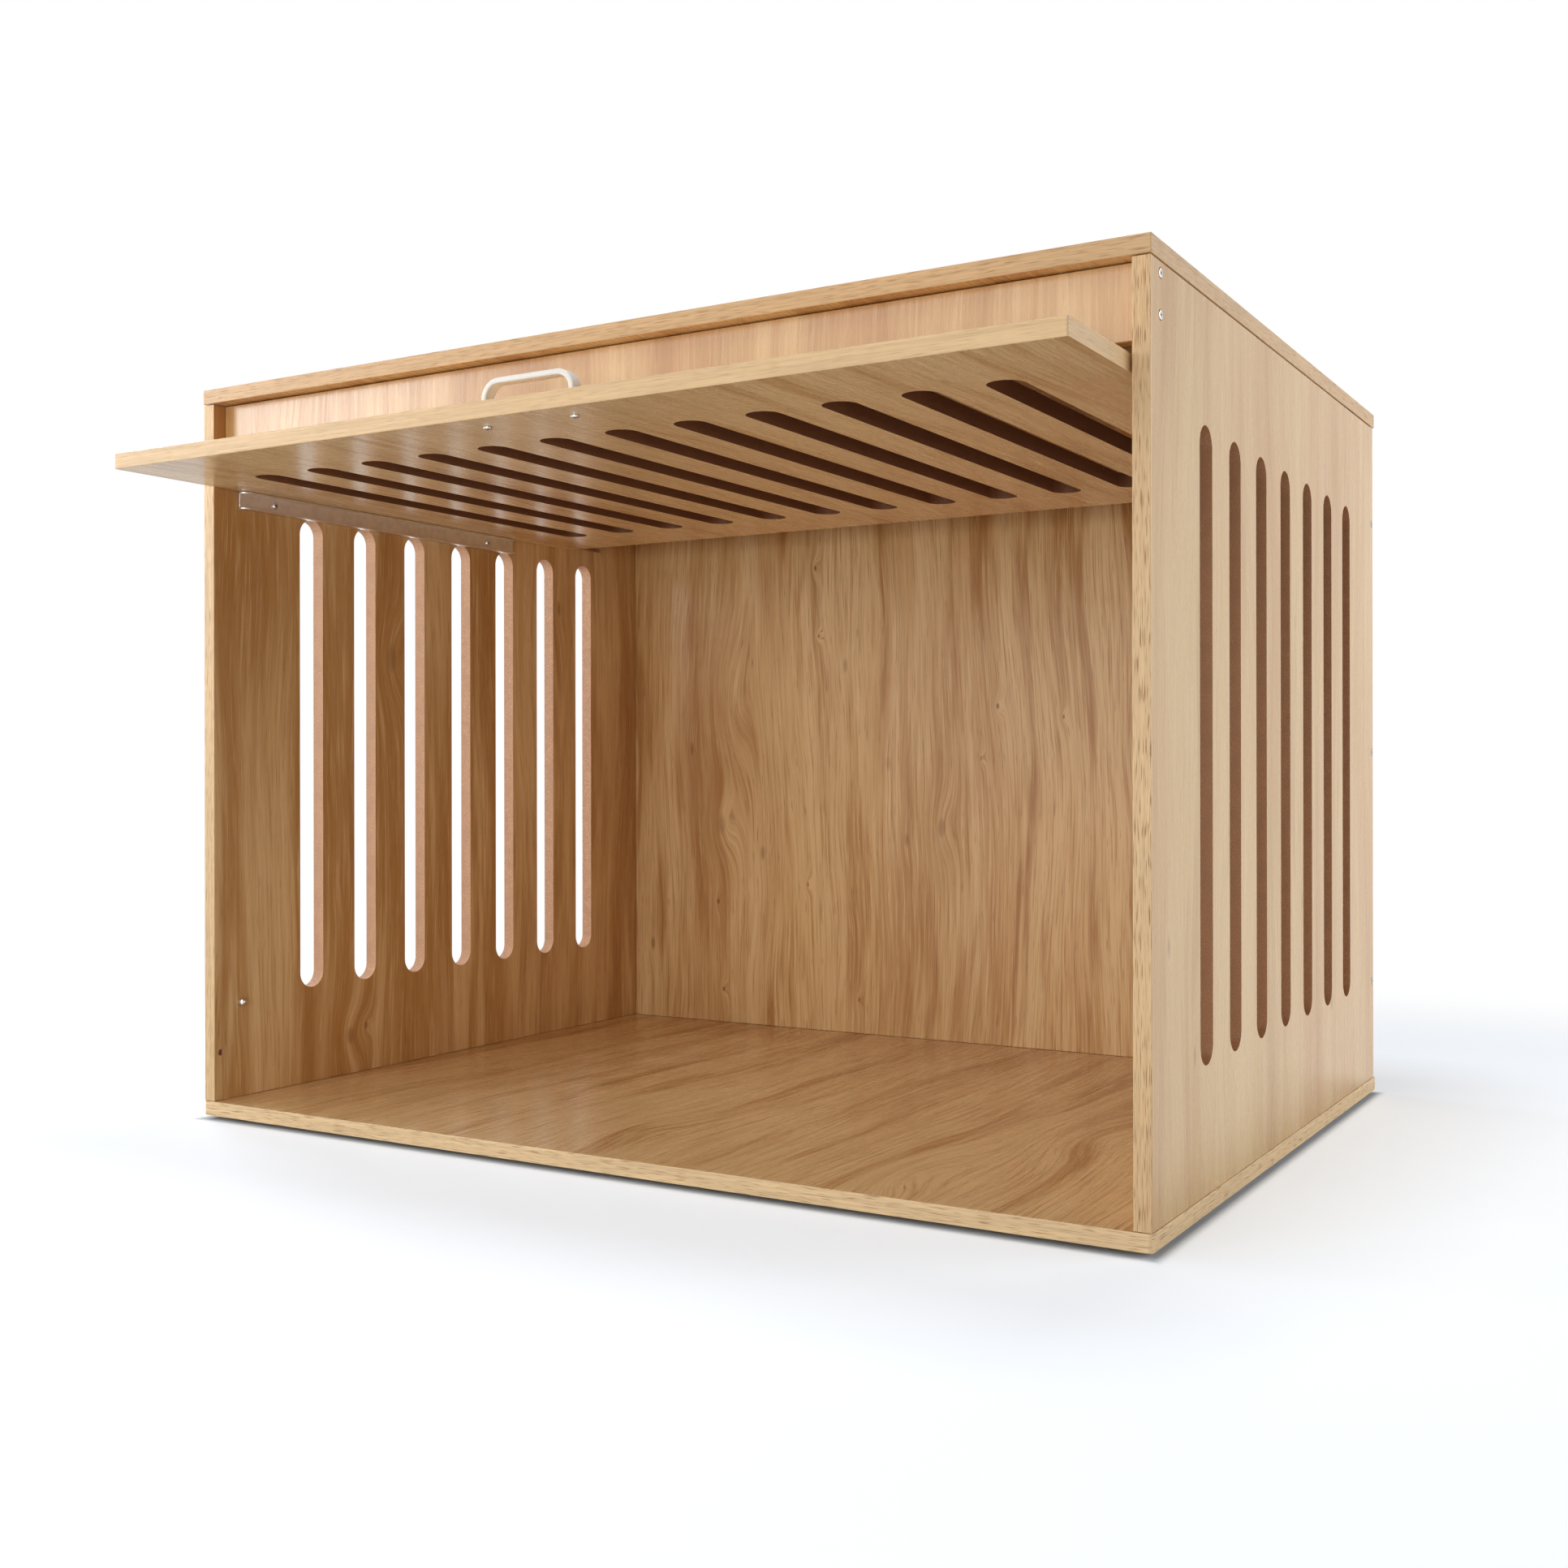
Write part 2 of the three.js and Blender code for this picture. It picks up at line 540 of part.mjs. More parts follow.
const OAK = finish(0xc49a66, 0.55);
const STEEL = finish(0xc8c8c6, 0.3, 1);
const SATIN_RAIL = finish(0xb9a697, 0.35, 0.8);
const WHITE_PAINT = finish(0xf1ede6, 0.4);
const ZINC = finish(0xa9abad, 0.4, 0.9);
const BEECH = finish(0xd8b886, 0.8);
const DARK_PLASTIC = finish(0x3a3633, 0.6);
const BRASS = finish(0xc8a252, 0.35, 1);

// ---------- assembly ----------

const crate = new THREE.Group();

/** Add one sub-part; a solid or a geometry, already in place or placed by `at` and `direction`. */
function add(parent, name, shape, material, at = null, direction = Z) {
  const geometry = shape instanceof THREE.BufferGeometry ? geometryOf(solid(shape)) : geometryOf(shape);
  const mesh = new THREE.Mesh(geometry, material);
  mesh.name = name;
  if (at) {
    mesh.position.set(...at);
    mesh.quaternion.setFromUnitVectors(Z, direction);
  }
  parent.add(mesh);
}

/** Add every screw of a list, each a copy of one solid. */
function addScrews(parent, screws, material) {
  for (const { name, screw, at, direction } of screws) {
    add(parent, name, screwSolid(screw), material, at, direction);
  }
}

const cabinet = new THREE.Group();
add(cabinet, "bottom_panel", bottomPanel(), OAK);
add(cabinet, "top_panel", topPanel(), OAK);
add(cabinet, "back_panel", backPanel(), OAK);
add(cabinet, "fascia_board", fasciaBoard(), OAK);
for (const side of SIDES) {
  add(cabinet, `side_panel_${side.name}`, sidePanel(side), OAK);
  add(cabinet, `door_rail_${side.name}`, rail(side), SATIN_RAIL);
  add(cabinet, `wall_peg_${side.name}`, wallPeg(), STEEL,
    [side.sign * (INNER_HALF - SEAT_GAP), FRONT_Y + PEG.setback, SIDE_BASE + PEG.rise], outward(side));
}
addScrews(cabinet, fasciaScrews, STEEL);
addScrews(cabinet, backScrews, STEEL);
addScrews(cabinet, baseScrews, ZINC);
addScrews(cabinet, backBaseScrews, ZINC);
addScrews(cabinet, railScrews, STEEL);
for (const place of camPlaces) {
  add(cabinet, `cam_lock_${place.name}`, camLock(place), ZINC);
  add(cabinet, `cam_bolt_${place.name}`, camBolt(), ZINC, [...place.at, TOP_BASE]);
}
for (const { name, at: [x, y] } of dowelPlaces) {
  add(cabinet, `dowel_${name}`, rod([x, y, TOP_BASE + DOWEL.inTop - DOWEL.length], Z, DOWEL.radius,
    DOWEL.length), BEECH);
}
for (const { name, at } of glidePlaces) {
  add(cabinet, `glide_${name}`, glide(), DARK_PLASTIC, [...at, 0]);
}

const door = new THREE.Group();
add(door, "door_panel", doorPanel(), OAK);
add(door, "handle", handleBow(), WHITE_PAINT);
addScrews(door, handleScrews, STEEL);
for (const side of SIDES) add(door, `pivot_pin_${side.name}`, pivotPin(side), STEEL);
add(door, "catch_barrel", catchBarrel(), BRASS);
add(door, "catch_ball", catchBall(), STEEL);
add(door, "catch_spring", catchSpring(), STEEL);

crate.add(cabinet, door);

export default crate;
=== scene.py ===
"""Looks, light and camera for an indoor pet crate with a slotted door that slides in under its top.

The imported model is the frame: places and outer sizes come from its nodes. Metres, with +X to the
right, +Y to the back and +Z up. The door and its hardware ride on their own bodies.
"""
import json
import logging
import math
from collections.abc import Callable, Iterable, Sequence
from dataclasses import dataclass, field
from enum import Enum

import bpy
from mathutils import Euler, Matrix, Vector


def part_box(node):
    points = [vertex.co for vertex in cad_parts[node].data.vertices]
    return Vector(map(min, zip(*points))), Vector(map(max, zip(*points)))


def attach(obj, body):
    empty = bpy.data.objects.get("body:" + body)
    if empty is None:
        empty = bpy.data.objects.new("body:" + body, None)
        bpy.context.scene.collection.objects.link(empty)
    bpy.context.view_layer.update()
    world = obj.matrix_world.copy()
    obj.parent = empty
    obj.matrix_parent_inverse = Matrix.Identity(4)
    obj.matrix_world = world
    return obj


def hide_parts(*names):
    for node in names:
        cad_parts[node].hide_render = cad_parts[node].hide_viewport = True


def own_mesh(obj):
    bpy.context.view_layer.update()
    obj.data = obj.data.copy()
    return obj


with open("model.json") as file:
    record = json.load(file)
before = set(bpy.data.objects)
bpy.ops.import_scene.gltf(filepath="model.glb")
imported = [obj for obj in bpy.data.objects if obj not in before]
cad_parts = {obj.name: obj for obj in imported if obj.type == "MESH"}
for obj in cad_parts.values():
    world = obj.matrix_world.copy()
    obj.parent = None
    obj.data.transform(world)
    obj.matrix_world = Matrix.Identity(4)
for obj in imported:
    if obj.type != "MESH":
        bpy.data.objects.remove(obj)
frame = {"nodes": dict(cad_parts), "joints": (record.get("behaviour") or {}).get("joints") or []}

log = logging.getLogger("pet_crate")
Colour = tuple[float, float, float, float]
Value = float | bpy.types.NodeSocket
Test = Callable[[Vector, Vector], bool]

FLAT = 0.999  # least cosine at which a face counts as facing along an axis
NEAR = 1e-5  # places nearer than this count as the same
UPRIGHT = 1e-3  # least rise of an edge that counts as upright
OVERSHOOT = 0.001  # how far a cutting tool reaches past the surface
FIT = 0.0003  # clearance round a fitting in its hole
SIDES = 32  # sides of a small round piece
DEPTH_RATE = 9.0  # how fast a print changes through a board
EXP_BASE = 2.718  # base of the fall from a knot's eye
WHITE = (1.0, 1.0, 1.0, 1.0)


# ---------- named choices ----------

class Axis(Enum):
    """An axis of the shared frame."""

    X = 0
    Y = 1
    Z = 2


class Side(Enum):
    """The crate's left or right, with its sign along X."""

    LEFT = -1.0
    RIGHT = 1.0

    @property
    def label(self) -> str:
        """Its word in node names."""
        return self.name.lower()


class Pick(Enum):
    """What edit mode selects."""

    FACES = "FACE"
    EDGES = "EDGE"


class Head(Enum):
    """Form of a screw's head."""

    SUNK = "countersunk"
    PAN = "pan"


class Spot(Enum):
    """Which of a board's surfaces a face belongs to."""

    FACE = 0
    LONG_BAND = 1
    SHORT_BAND = 2
    CORE = 3


# ---------- small helpers ----------

def paint(red: int, green: int, blue: int) -> Colour:
    """A shader colour from display values.

    Args:
        red: Red from 0 to 255.
        green: Green from 0 to 255.
        blue: Blue from 0 to 255.

    Returns:
        The same colour in linear values, with an alpha of 1.
    """
    def linear(value: float) -> float:
        """One channel in linear light."""
        return value / 12.92 if value <= 0.04045 else ((value + 0.055) / 1.055) ** 2.4

    return (linear(red / 255), linear(green / 255), linear(blue / 255), 1.0)


def tinted(colour: Colour, factor: float) -> Colour:
    """A colour with each channel times a factor, up to 1."""
    return tuple(min(1.0, factor * channel) for channel in colour[:3]) + (1.0,)


def middle(node: str) -> Vector:
    """Centre of a CAD node's box."""
    low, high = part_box(node)
    return (low + high) / 2


def travel(joint: str) -> Sequence[float]:
    """Lowest and highest value of a sliding joint."""
    return next(j for j in frame["joints"] if j["name"] == joint)["range_m"]


def spread(count: int, first: float, last: float) -> list[float]:
    """Evenly spaced values from a first to a last one."""
    return [first + (last - first) * i / (count - 1) for i in range(count)]


def unit(axis: Axis, sign: float = 1.0) -> Vector:
    """A unit vector along an axis.

    Args:
        axis: The axis.
        sign: 1 along it, -1 against it.

    Returns:
        The vector.
    """
    vector = Vector((0.0, 0.0, 0.0))
    vector[axis.value] = sign
    return vector


def pair(stem: str, *ends: str) -> tuple[str, ...]:
    """Node names of a left and a right group of parts.

    Args:
        stem: What the names start with.
        *ends: What they end with, in each group.

    Returns:
        The names, left ones first.
    """
    if not ends:
        return tuple(f"{stem}_{side.label}" for side in Side)
    return tuple(f"{stem}_{side.label}_{end}" for side in Side for end in ends)


# ---------- modelling by hand ----------

def deselect() -> None:
    """Deselect every object."""
    bpy.ops.object.select_all(action="DESELECT")


def only(*pieces: bpy.types.Object) -> None:
    """Select these objects and no others, with the first one active.

    Args:
        *pieces: The objects.
    """
    deselect()
    for piece in pieces:
        piece.select_set(True)
    bpy.context.view_layer.objects.active = pieces[0]


def settle(piece: bpy.types.Object) -> None:
    """Put an object's place into its mesh."""
    only(piece)
    bpy.ops.object.transform_apply(location=True, rotation=True, scale=True)


def started(name: str) -> bpy.types.Object:
    """Name the primitive that was just added.

    Args:
        name: Name of the object and of its mesh.

    Returns:
        The object, with its place in its mesh.
    """
    piece = bpy.context.object
    piece.name = piece.data.name = name
    settle(piece)
    return piece


def block(name: str, low: Sequence[float], high: Sequence[float]) -> bpy.types.Object:
    """A cube primitive stretched between two corners, as a start.

    Args:
        name: Name of the object.
        low: Lowest corner.
        high: Highest corner.

    Returns:
        The new object, with its place in its mesh.
    """
    deselect()
    low, high = Vector(low), Vector(high)
    bpy.ops.mesh.primitive_cube_add(size=1, location=(low + high) / 2, scale=high - low)
    return started(name)


def drum(name: str, radius: float, low: float, high: float, sides: int = SIDES) -> bpy.types.Object:
    """A cylinder primitive standing on the Z axis between two heights, as a start.

    Args:
        name: Name of the object.
        radius: Its radius.
        low: Its lower height.
        high: Its upper height.
        sides: How many sides it has.

    Returns:
        The new object, with its place in its mesh.
    """
    deselect()
    bpy.ops.mesh.primitive_cylinder_add(vertices=sides, radius=radius, depth=high - low,
                                        location=(0, 0, (low + high) / 2))
    return started(name)


def leave_edit() -> None:
    """Go back to object mode."""
    bpy.ops.object.mode_set(mode="OBJECT")


def clear_picks(piece: bpy.types.Object, kind: Pick) -> None:
    """Deselect all of an object's mesh, ready to select in object mode.

    Args:
        piece: The object.
        kind: What will be selected.
    """
    only(piece)
    bpy.ops.object.mode_set(mode="EDIT")
    bpy.ops.mesh.select_mode(type=kind.value)
    bpy.ops.mesh.select_all(action="DESELECT")
    leave_edit()


def pick_faces(piece: bpy.types.Object, test: Test) -> None:
    """Enter edit mode with some faces selected.

    Args:
        piece: The object.
        test: Says from a face's centre and normal whether it is selected.
    """
    clear_picks(piece, Pick.FACES)
    for face in piece.data.polygons:
        face.select = test(face.center, face.normal)
    bpy.ops.object.mode_set(mode="EDIT")


def pick_edges(piece: bpy.types.Object, test: Test) -> None:
    """Enter edit mode with some edges selected.

    Args:
        piece: The object.
        test: Says from an edge's two ends whether it is selected.
    """
    clear_picks(piece, Pick.EDGES)
    points = piece.data.vertices
    for edge in piece.data.edges:
        edge.select = test(points[edge.vertices[0]].co, points[edge.vertices[1]].co)
    bpy.ops.object.mode_set(mode="EDIT")


def faces_up(centre: Vector, normal: Vector) -> bool:
    """Whether a face looks up."""
    return normal.z > FLAT


def faces_down(centre: Vector, normal: Vector) -> bool:
    """Whether a face looks down."""
    return normal.z < -FLAT


def extrude(move: Vector) -> None:
    """Extrude the selected faces by a vector."""
    bpy.ops.mesh.extrude_region_move(TRANSFORM_OT_translate={"value": move})


def draw_up(height: float) -> None:
    """Extrude the selected faces up, or down when below zero."""
    extrude(Vector((0, 0, height)))


def narrow(x: float, y: float) -> None:
    """Scale the selection along X and Y."""
    bpy.ops.transform.resize(value=(x, y, 1.0))


def round_edges(piece: bpy.types.Object, test: Test, radius: float, steps: int) -> None:
    """Bevel some edges of an object.

    Args:
        piece: The object.
        test: Says from an edge's two ends whether it is rounded.
        radius: Radius of the rounding.
        steps: Steps in it.
    """
    pick_edges(piece, test)
    bpy.ops.mesh.bevel(offset=radius, segments=steps, affect="EDGES", clamp_overlap=False)
    leave_edit()


def modify(piece: bpy.types.Object, kind: str, **settings: object) -> None:
    """Add a modifier to an object and apply it.

    Args:
        piece: The object.
        kind: Type of the modifier.
        **settings: Its properties.
    """
    only(piece)
    modifier = piece.modifiers.new(kind.lower(), kind)
    for key, value in settings.items():
        setattr(modifier, key, value)
    bpy.ops.object.modifier_apply(modifier=modifier.name)


def ease(piece: bpy.types.Object, width: float, segments: int = 2, angle: float = 50.0) -> None:
    """Round an object's sharp edges.

    Args:
        piece: The object.
        width: How far the rounding reaches from each edge.
        segments: Steps in the rounding.
        angle: Edges that turn by more than this many degrees are rounded.
    """
    modify(piece, "BEVEL", width=width, segments=segments, limit_method="ANGLE",
           angle_limit=math.radians(angle))


def cut(piece: bpy.types.Object, tools: Sequence[bpy.types.Object]) -> None:
    """Cut tools out of an object and remove the tools.

    Args:
        piece: The object.
        tools: The tools, perhaps none.
    """
    if not tools:
        return
    only(*tools)
    if len(tools) > 1:
        bpy.ops.object.join()
    tool = bpy.context.object
    modify(piece, "BOOLEAN", operation="DIFFERENCE", solver="EXACT", object=tool)
    bpy.data.objects.remove(tool)


def smooth(piece: bpy.types.Object, angle: float = 35.0) -> None:
    """Shade an object smoothly across edges that turn by less than an angle in degrees."""
    only(piece)
    bpy.ops.object.shade_smooth_by_angle(angle=math.radians(angle))


def stand(piece: bpy.types.Object, at: Vector, along: Vector) -> None:
    """Move and turn a piece that was modelled up the Z axis.

    Args:
        piece: The piece.
        at: Where its foot goes.
        along: The direction that its Z axis goes to.
    """
    piece.rotation_mode = "QUATERNION"
    piece.rotation_quaternion = Vector((0, 0, 1)).rotation_difference(along)
    piece.location = at
    settle(piece)


def twin(piece: bpy.types.Object, name: str) -> bpy.types.Object:
    """A copy of an object with its own mesh.

    Args:
        piece: The object.
        name: Name of the copy.

    Returns:
        The copy.
    """
    copy = piece.copy()
    copy.data = piece.data.copy()
    copy.name = copy.data.name = name
    bpy.context.scene.collection.objects.link(copy)
    return copy


def dress(piece: bpy.types.Object, *materials: bpy.types.Material) -> None:
    """Give an object materials.

    Args:
        piece: The object.
        *materials: The materials, in order.
    """
    piece.data.materials.clear()
    for material in materials:
        piece.data.materials.append(material)


def dress_node(node: str, material: bpy.types.Material) -> None:
    """Give a CAD node that stays in view its own material.

    Args:
        node: The node.
        material: Its material.
    """
    shown = frame["nodes"][node]
    dress(shown, material)
    log.info("%s keeps its own shape", node)


def finish_piece(piece: bpy.types.Object, body: str, node: str) -> None:
    """Give a finished piece its place in the assembly.

    Args:
        piece: The piece.
        body: Body that it rides on.
        node: The CAD node that it stands for.
    """
    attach(piece, body)
    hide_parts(node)
    log.info("%s rides on %s", piece.name, body)


# ---------- material trees ----------

@dataclass(frozen=True)
class Grain:
    """One noise of a wood print.

    Attributes:
        across: Its frequency across the grain.
        along: Its frequency along the grain.
        detail: How many finer noises it carries.
        rough: How strong those are.
    """

    across: float
    along: float
    detail: float
    rough: float = 0.5


class Nodes:
    """Short calls that add nodes to a tree."""

    def __init__(self, tree: bpy.types.NodeTree) -> None:
        """Take up a node tree."""
        self.nodes = tree.nodes
        self.links = tree.links

    def put(self, socket: bpy.types.NodeSocket, value: object) -> None:
        """Set an input.

        Args:
            socket: The input.
            value: A plain value, or another node's output to link.
        """
        if isinstance(value, bpy.types.NodeSocket):
            self.links.new(value, socket)
        else:
            socket.default_value = value

    def node(self, kind: str, inputs: dict[str | int, object], **settings: object) -> bpy.types.Node:
        """Add a node.

        Args:
            kind: Its type.
            inputs: Values or links for its inputs, by name or number.
            **settings: Its properties.

        Returns:
            The node.
        """
        made = self.nodes.new(kind)
        for key, value in settings.items():
            setattr(made, key, value)
        for key, value in inputs.items():
            self.put(made.inputs[key], value)
        return made

    def calc(self, operation: str, *values: Value) -> bpy.types.NodeSocket:
        """The result of a Math node."""
        return self.node("ShaderNodeMath", dict(enumerate(values)), operation=operation).outputs[0]


class Tree(Nodes):
    """Short calls that build one material's nodes."""

    def __init__(self, name: str) -> None:
        """Start a material with its principled shader.

        Args:
            name: Its name.
        """
        self.material = bpy.data.materials.new(name)
        self.material.use_nodes = True
        super().__init__(self.material.node_tree)
        self.shader = next(n for n in self.nodes if n.type == "BSDF_PRINCIPLED")
        self.output = next(n for n in self.nodes if n.type == "OUTPUT_MATERIAL")

    def total(self, first: Value, *rest: Value) -> Value:
        """The sum of all values.

        Args:
            first: The first value.
            *rest: The others.

        Returns:
            The sum.
        """
        result = first
        for value in rest:
            result = self.calc("ADD", result, value)
        return result

    def scaled(self, value: Value, factor: Value, shift: Value = 0.0) -> bpy.types.NodeSocket:
        """The value times a factor plus a shift."""
        return self.calc("MULTIPLY_ADD", value, factor, shift)

    def ranged(self, value: Value, low: float, high: float, start: float = 0.0,
               end: float = 1.0) -> bpy.types.NodeSocket:
        """A value in low..high spread smoothly over start..end."""
        inputs = {"Value": value, "From Min": low, "From Max": high, "To Min": start, "To Max": end}
        return self.node("ShaderNodeMapRange", inputs, interpolation_type="SMOOTHSTEP").outputs[0]

    def point(self, x: Value, y: Value, z: Value) -> bpy.types.NodeSocket:
        """A vector from three values."""
        return self.node("ShaderNodeCombineXYZ", {"X": x, "Y": y, "Z": z}).outputs[0]

    def noise(self, place: bpy.types.NodeSocket, detail: float, rough: float = 0.5,
              scale: float = 1.0) -> bpy.types.NodeSocket:
        """Noise from 0 to 1 at a place."""
        inputs = {"Vector": place, "Scale": scale, "Detail": detail, "Roughness": rough}
        return self.node("ShaderNodeTexNoise", inputs).outputs[0]

    def stretched(self, across: Value, along: Value, depth: Value,
                  grain: Grain) -> bpy.types.NodeSocket:
        """Noise drawn out along the grain."""
        place = self.point(self.scaled(across, grain.across), self.scaled(along, grain.along), depth)
        return self.noise(place, grain.detail, grain.rough)

    def blend(self, factor: Value, first: object, second: object) -> bpy.types.NodeSocket:
        """Two colours mixed by a factor."""
        inputs = {0: factor, 6: first, 7: second}
        return self.node("ShaderNodeMix", inputs, data_type="RGBA").outputs[2]

    def bump(self, height: Value, distance: float, strength: float = 1.0) -> bpy.types.NodeSocket:
        """A normal that follows a height."""
        inputs = {"Height": height, "Distance": distance, "Strength": strength}
        return self.node("ShaderNodeBump", inputs).outputs[0]

    def place(self) -> bpy.types.NodeSocket:
        """The object coordinates as one vector."""
        return self.node("ShaderNodeTexCoord", {}).outputs["Object"]

    def coordinates(self) -> list[bpy.types.NodeSocket]:
        """The three object coordinates."""
        return list(self.node("ShaderNodeSeparateXYZ", {"Vector": self.place()}).outputs)

    def finished(self, colour: Value, roughness: Value, normal: bpy.types.NodeSocket,
                 even: dict[str, float] | None = None) -> bpy.types.Material:
        """Wire up the shader.

        Args:
            colour: Its base colour.
            roughness: Its roughness.
            normal: Its normal.
            even: Other inputs, which are the same all over the surface.

        Returns:
            The finished material.
        """
        inputs = {"Base Color": colour, "Roughness": roughness, "Normal": normal} | (even or {})
        for name, value in inputs.items():
            self.put(self.shader.inputs[name], value)
        return self.material


# ---------- finishes ----------

@dataclass(frozen=True)
class Run:
    """How the printed grain runs on a board.

    Attributes:
        along: Axis that the grain follows.
        across: Axis across the grain, in the board's face.
        through: Axis of the board's thickness.
        cut_at: Where in the endless print this board was cut, in metres.
    """

    along: Axis
    across: Axis
    through: Axis
    cut_at: float


@dataclass(frozen=True)
class Knot:
    """A knot in the print, with the grain flowing round it.

    Attributes:
        across: Its place across the grain.
        along: Its place along the grain.
        width: Half the width of the swirl.
        length: Half its length.
        lift: How strongly it bends the lines.
        dark: How dark its eye is, from 0 to 1.
    """

    across: float
    along: float
    width: float
    length: float
    lift: float
    dark: float


class Ink(Enum):
    """Inks of the printed oak."""

    LIGHT = paint(238, 203, 150)
    BROWN = paint(178, 124, 64)
    AMBER = paint(216, 169, 110)
    STRAW = paint(223, 184, 124)
    SPECK = paint(126, 78, 34)


class Figure(Enum):
    """Parts of the printed figure, from the broadest to the finest."""

    BROAD = Grain(10.0, 1.0, 2.0)
    FLAME = Grain(32.0, 1.9, 3.0, 0.65)
    RINGS = Grain(170.0, 5.0, 2.0, 0.7)
    LINES = Grain(520.0, 9.0, 2.0, 0.7)
    FIBRE = Grain(1000.0, 10.0, 1.0)
    PORES = Grain(640.0, 30.0, 1.0)


@dataclass(frozen=True)
class Layer:
    """One ink over the print's ground tone, where a part of the figure is strong.

    Attributes:
        figure: The part of the figure.
        bare: Level of the figure at which none is printed.
        full: Level at which most is printed.
        amount: How much that is, from 0 to 1.
        ink: The ink.
    """

    figure: Figure
    bare: float
    full: float
    amount: float
    ink: Ink


LAYERS = (
    Layer(Figure.BROAD, 0.48, 0.66, 0.75, Ink.LIGHT),
    Layer(Figure.BROAD, 0.52, 0.30, 0.45, Ink.BROWN),
    Layer(Figure.FLAME, 0.50, 0.66, 0.75, Ink.LIGHT),
    Layer(Figure.FLAME, 0.50, 0.32, 0.75, Ink.BROWN),
    Layer(Figure.RINGS, 0.50, 0.28, 0.30, Ink.BROWN),
    Layer(Figure.LINES, 0.50, 0.30, 0.55, Ink.BROWN),
    Layer(Figure.LINES, 0.52, 0.70, 0.50, Ink.LIGHT),
    Layer(Figure.FIBRE, 0.50, 0.25, 0.30, Ink.BROWN),
    Layer(Figure.PORES, 0.36, 0.20, 0.38, Ink.SPECK),
)


@dataclass(frozen=True)
class OakFace:
    """Printed light oak on a board's faces: figure, rings, fibres, pores, specks and knots.

    Attributes:
        name: Name of the material.
        run: How the grain runs.
        knots: Knots in the print.
        contrast: Strength of the figure.
        shade: Painted shade that darkens the print towards brown, or painted light that makes it paler
            when below zero.
        gloss: Specular level.
        roughness: Mean roughness.
    """

    name: str
    run: Run
    knots: tuple[Knot, ...] = ()
    contrast: float = 1.0
    shade: float = 0.0
    gloss: float = 0.5
    roughness: float = 0.26

    def swirl(self, tree: Tree, across: Value, along: Value, knot: Knot) -> bpy.types.NodeSocket:
        """How near a place is to a knot's eye.

        Args:
            tree: The material's tree.
            across: The place across the grain.
            along: The place along the grain.
            knot: The knot.

        Returns:
            1 at the eye, falling to 0.
        """
        sideways = tree.scaled(across, 1 / knot.width, -knot.across / knot.width)
        lengthways = tree.scaled(along, 1 / knot.length, -knot.along / knot.length)
        square = tree.total(tree.calc("MULTIPLY", sideways, sideways),
                            tree.calc("MULTIPLY", lengthways, lengthways))
        return tree.calc("POWER", EXP_BASE, tree.scaled(square, -1.0))

    def specks(self, tree: Tree, across: Value, along: Value,
               depth: Value) -> tuple[bpy.types.NodeSocket, bpy.types.NodeSocket]:
        """Small pin knots strewn over the print.

        Args:
            tree: The material's tree.
            across: The place across the grain.
            along: The place along the grain.
            depth: The place through the board.

        Returns:
            How far they push the grain aside, and how strong their eyes are.
        """
        place = tree.point(tree.scaled(across, 15.0), tree.scaled(along, 5.5), depth)
        cells = tree.node("ShaderNodeTexVoronoi", {"Vector": place, "Scale": 1.0},
                          voronoi_dimensions="3D").outputs
        red = tree.node("ShaderNodeSeparateColor", {"Color": cells["Color"]}).outputs[0]
        near, chosen = cells["Distance"], tree.ranged(red, 0.35, 0.75)
        push = tree.calc("MULTIPLY", tree.ranged(near, 0.0, 0.3, 0.004, 0.0), chosen)
        eye = tree.calc("MULTIPLY", tree.ranged(near, 0.02, 0.075, 1.0, 0.0), chosen)
        return push, eye

    def material(self) -> bpy.types.Material:
        """Build the material.

        Returns:
            The material.
        """
        tree = Tree(self.name)
        axes = tree.coordinates()
        across, along = axes[self.run.across.value], axes[self.run.along.value]
        depth = tree.scaled(axes[self.run.through.value], DEPTH_RATE, self.run.cut_at)
        push, eye = self.specks(tree, across, along, depth)
        swirls = [self.swirl(tree, across, along, knot) for knot in self.knots]

        drift = tree.stretched(across, along, depth, Grain(3.2, 1.1, 2.0))
        ripple = tree.stretched(across, along, depth, Grain(14.0, 2.4, 2.0))
        wave = tree.total(across, tree.scaled(drift, 0.11), tree.scaled(ripple, 0.018), push)
        for knot, swirl in zip(self.knots, swirls):
            wave = tree.total(wave, tree.scaled(swirl, knot.lift))

        figure = {part: tree.stretched(wave, along, depth, part.value) for part in Figure}
        warmth = tree.stretched(wave, along, tree.scaled(depth, 1.0, 3.7), Grain(7.0, 1.4, 1.0))
        tone = tree.blend(tree.ranged(warmth, 0.36, 0.64), Ink.STRAW.value, Ink.AMBER.value)
        # Painted shading: part of the tone is turned brown as painted shade, or pale as painted light
        # when below zero.
        if self.shade:
            ink = Ink.BROWN if self.shade > 0 else Ink.LIGHT
            tone = tree.blend(abs(self.shade), tone, ink.value)
        for layer in LAYERS:
            most = layer.amount * self.contrast
            part = tree.ranged(figure[layer.figure], layer.bare, layer.full, 0.0, most)
            tone = tree.blend(part, tone, layer.ink.value)
        tone = tree.blend(tree.scaled(eye, 0.5), tone, Ink.SPECK.value)
        for knot, swirl in zip(self.knots, swirls):
            core = tree.ranged(swirl, 0.88, 1.0, 0.0, knot.dark)
            tone = tree.blend(core, tone, Ink.SPECK.value)

        lines = figure[Figure.LINES]
        dull = tree.ranged(lines, 0.3, 0.7, self.roughness + 0.04, self.roughness - 0.03)
        height = tree.total(tree.scaled(figure[Figure.FIBRE], 0.6), lines)
        return tree.finished(tone, dull, tree.bump(height, 0.00006, 0.5),
                             {"Specular IOR Level": self.gloss})


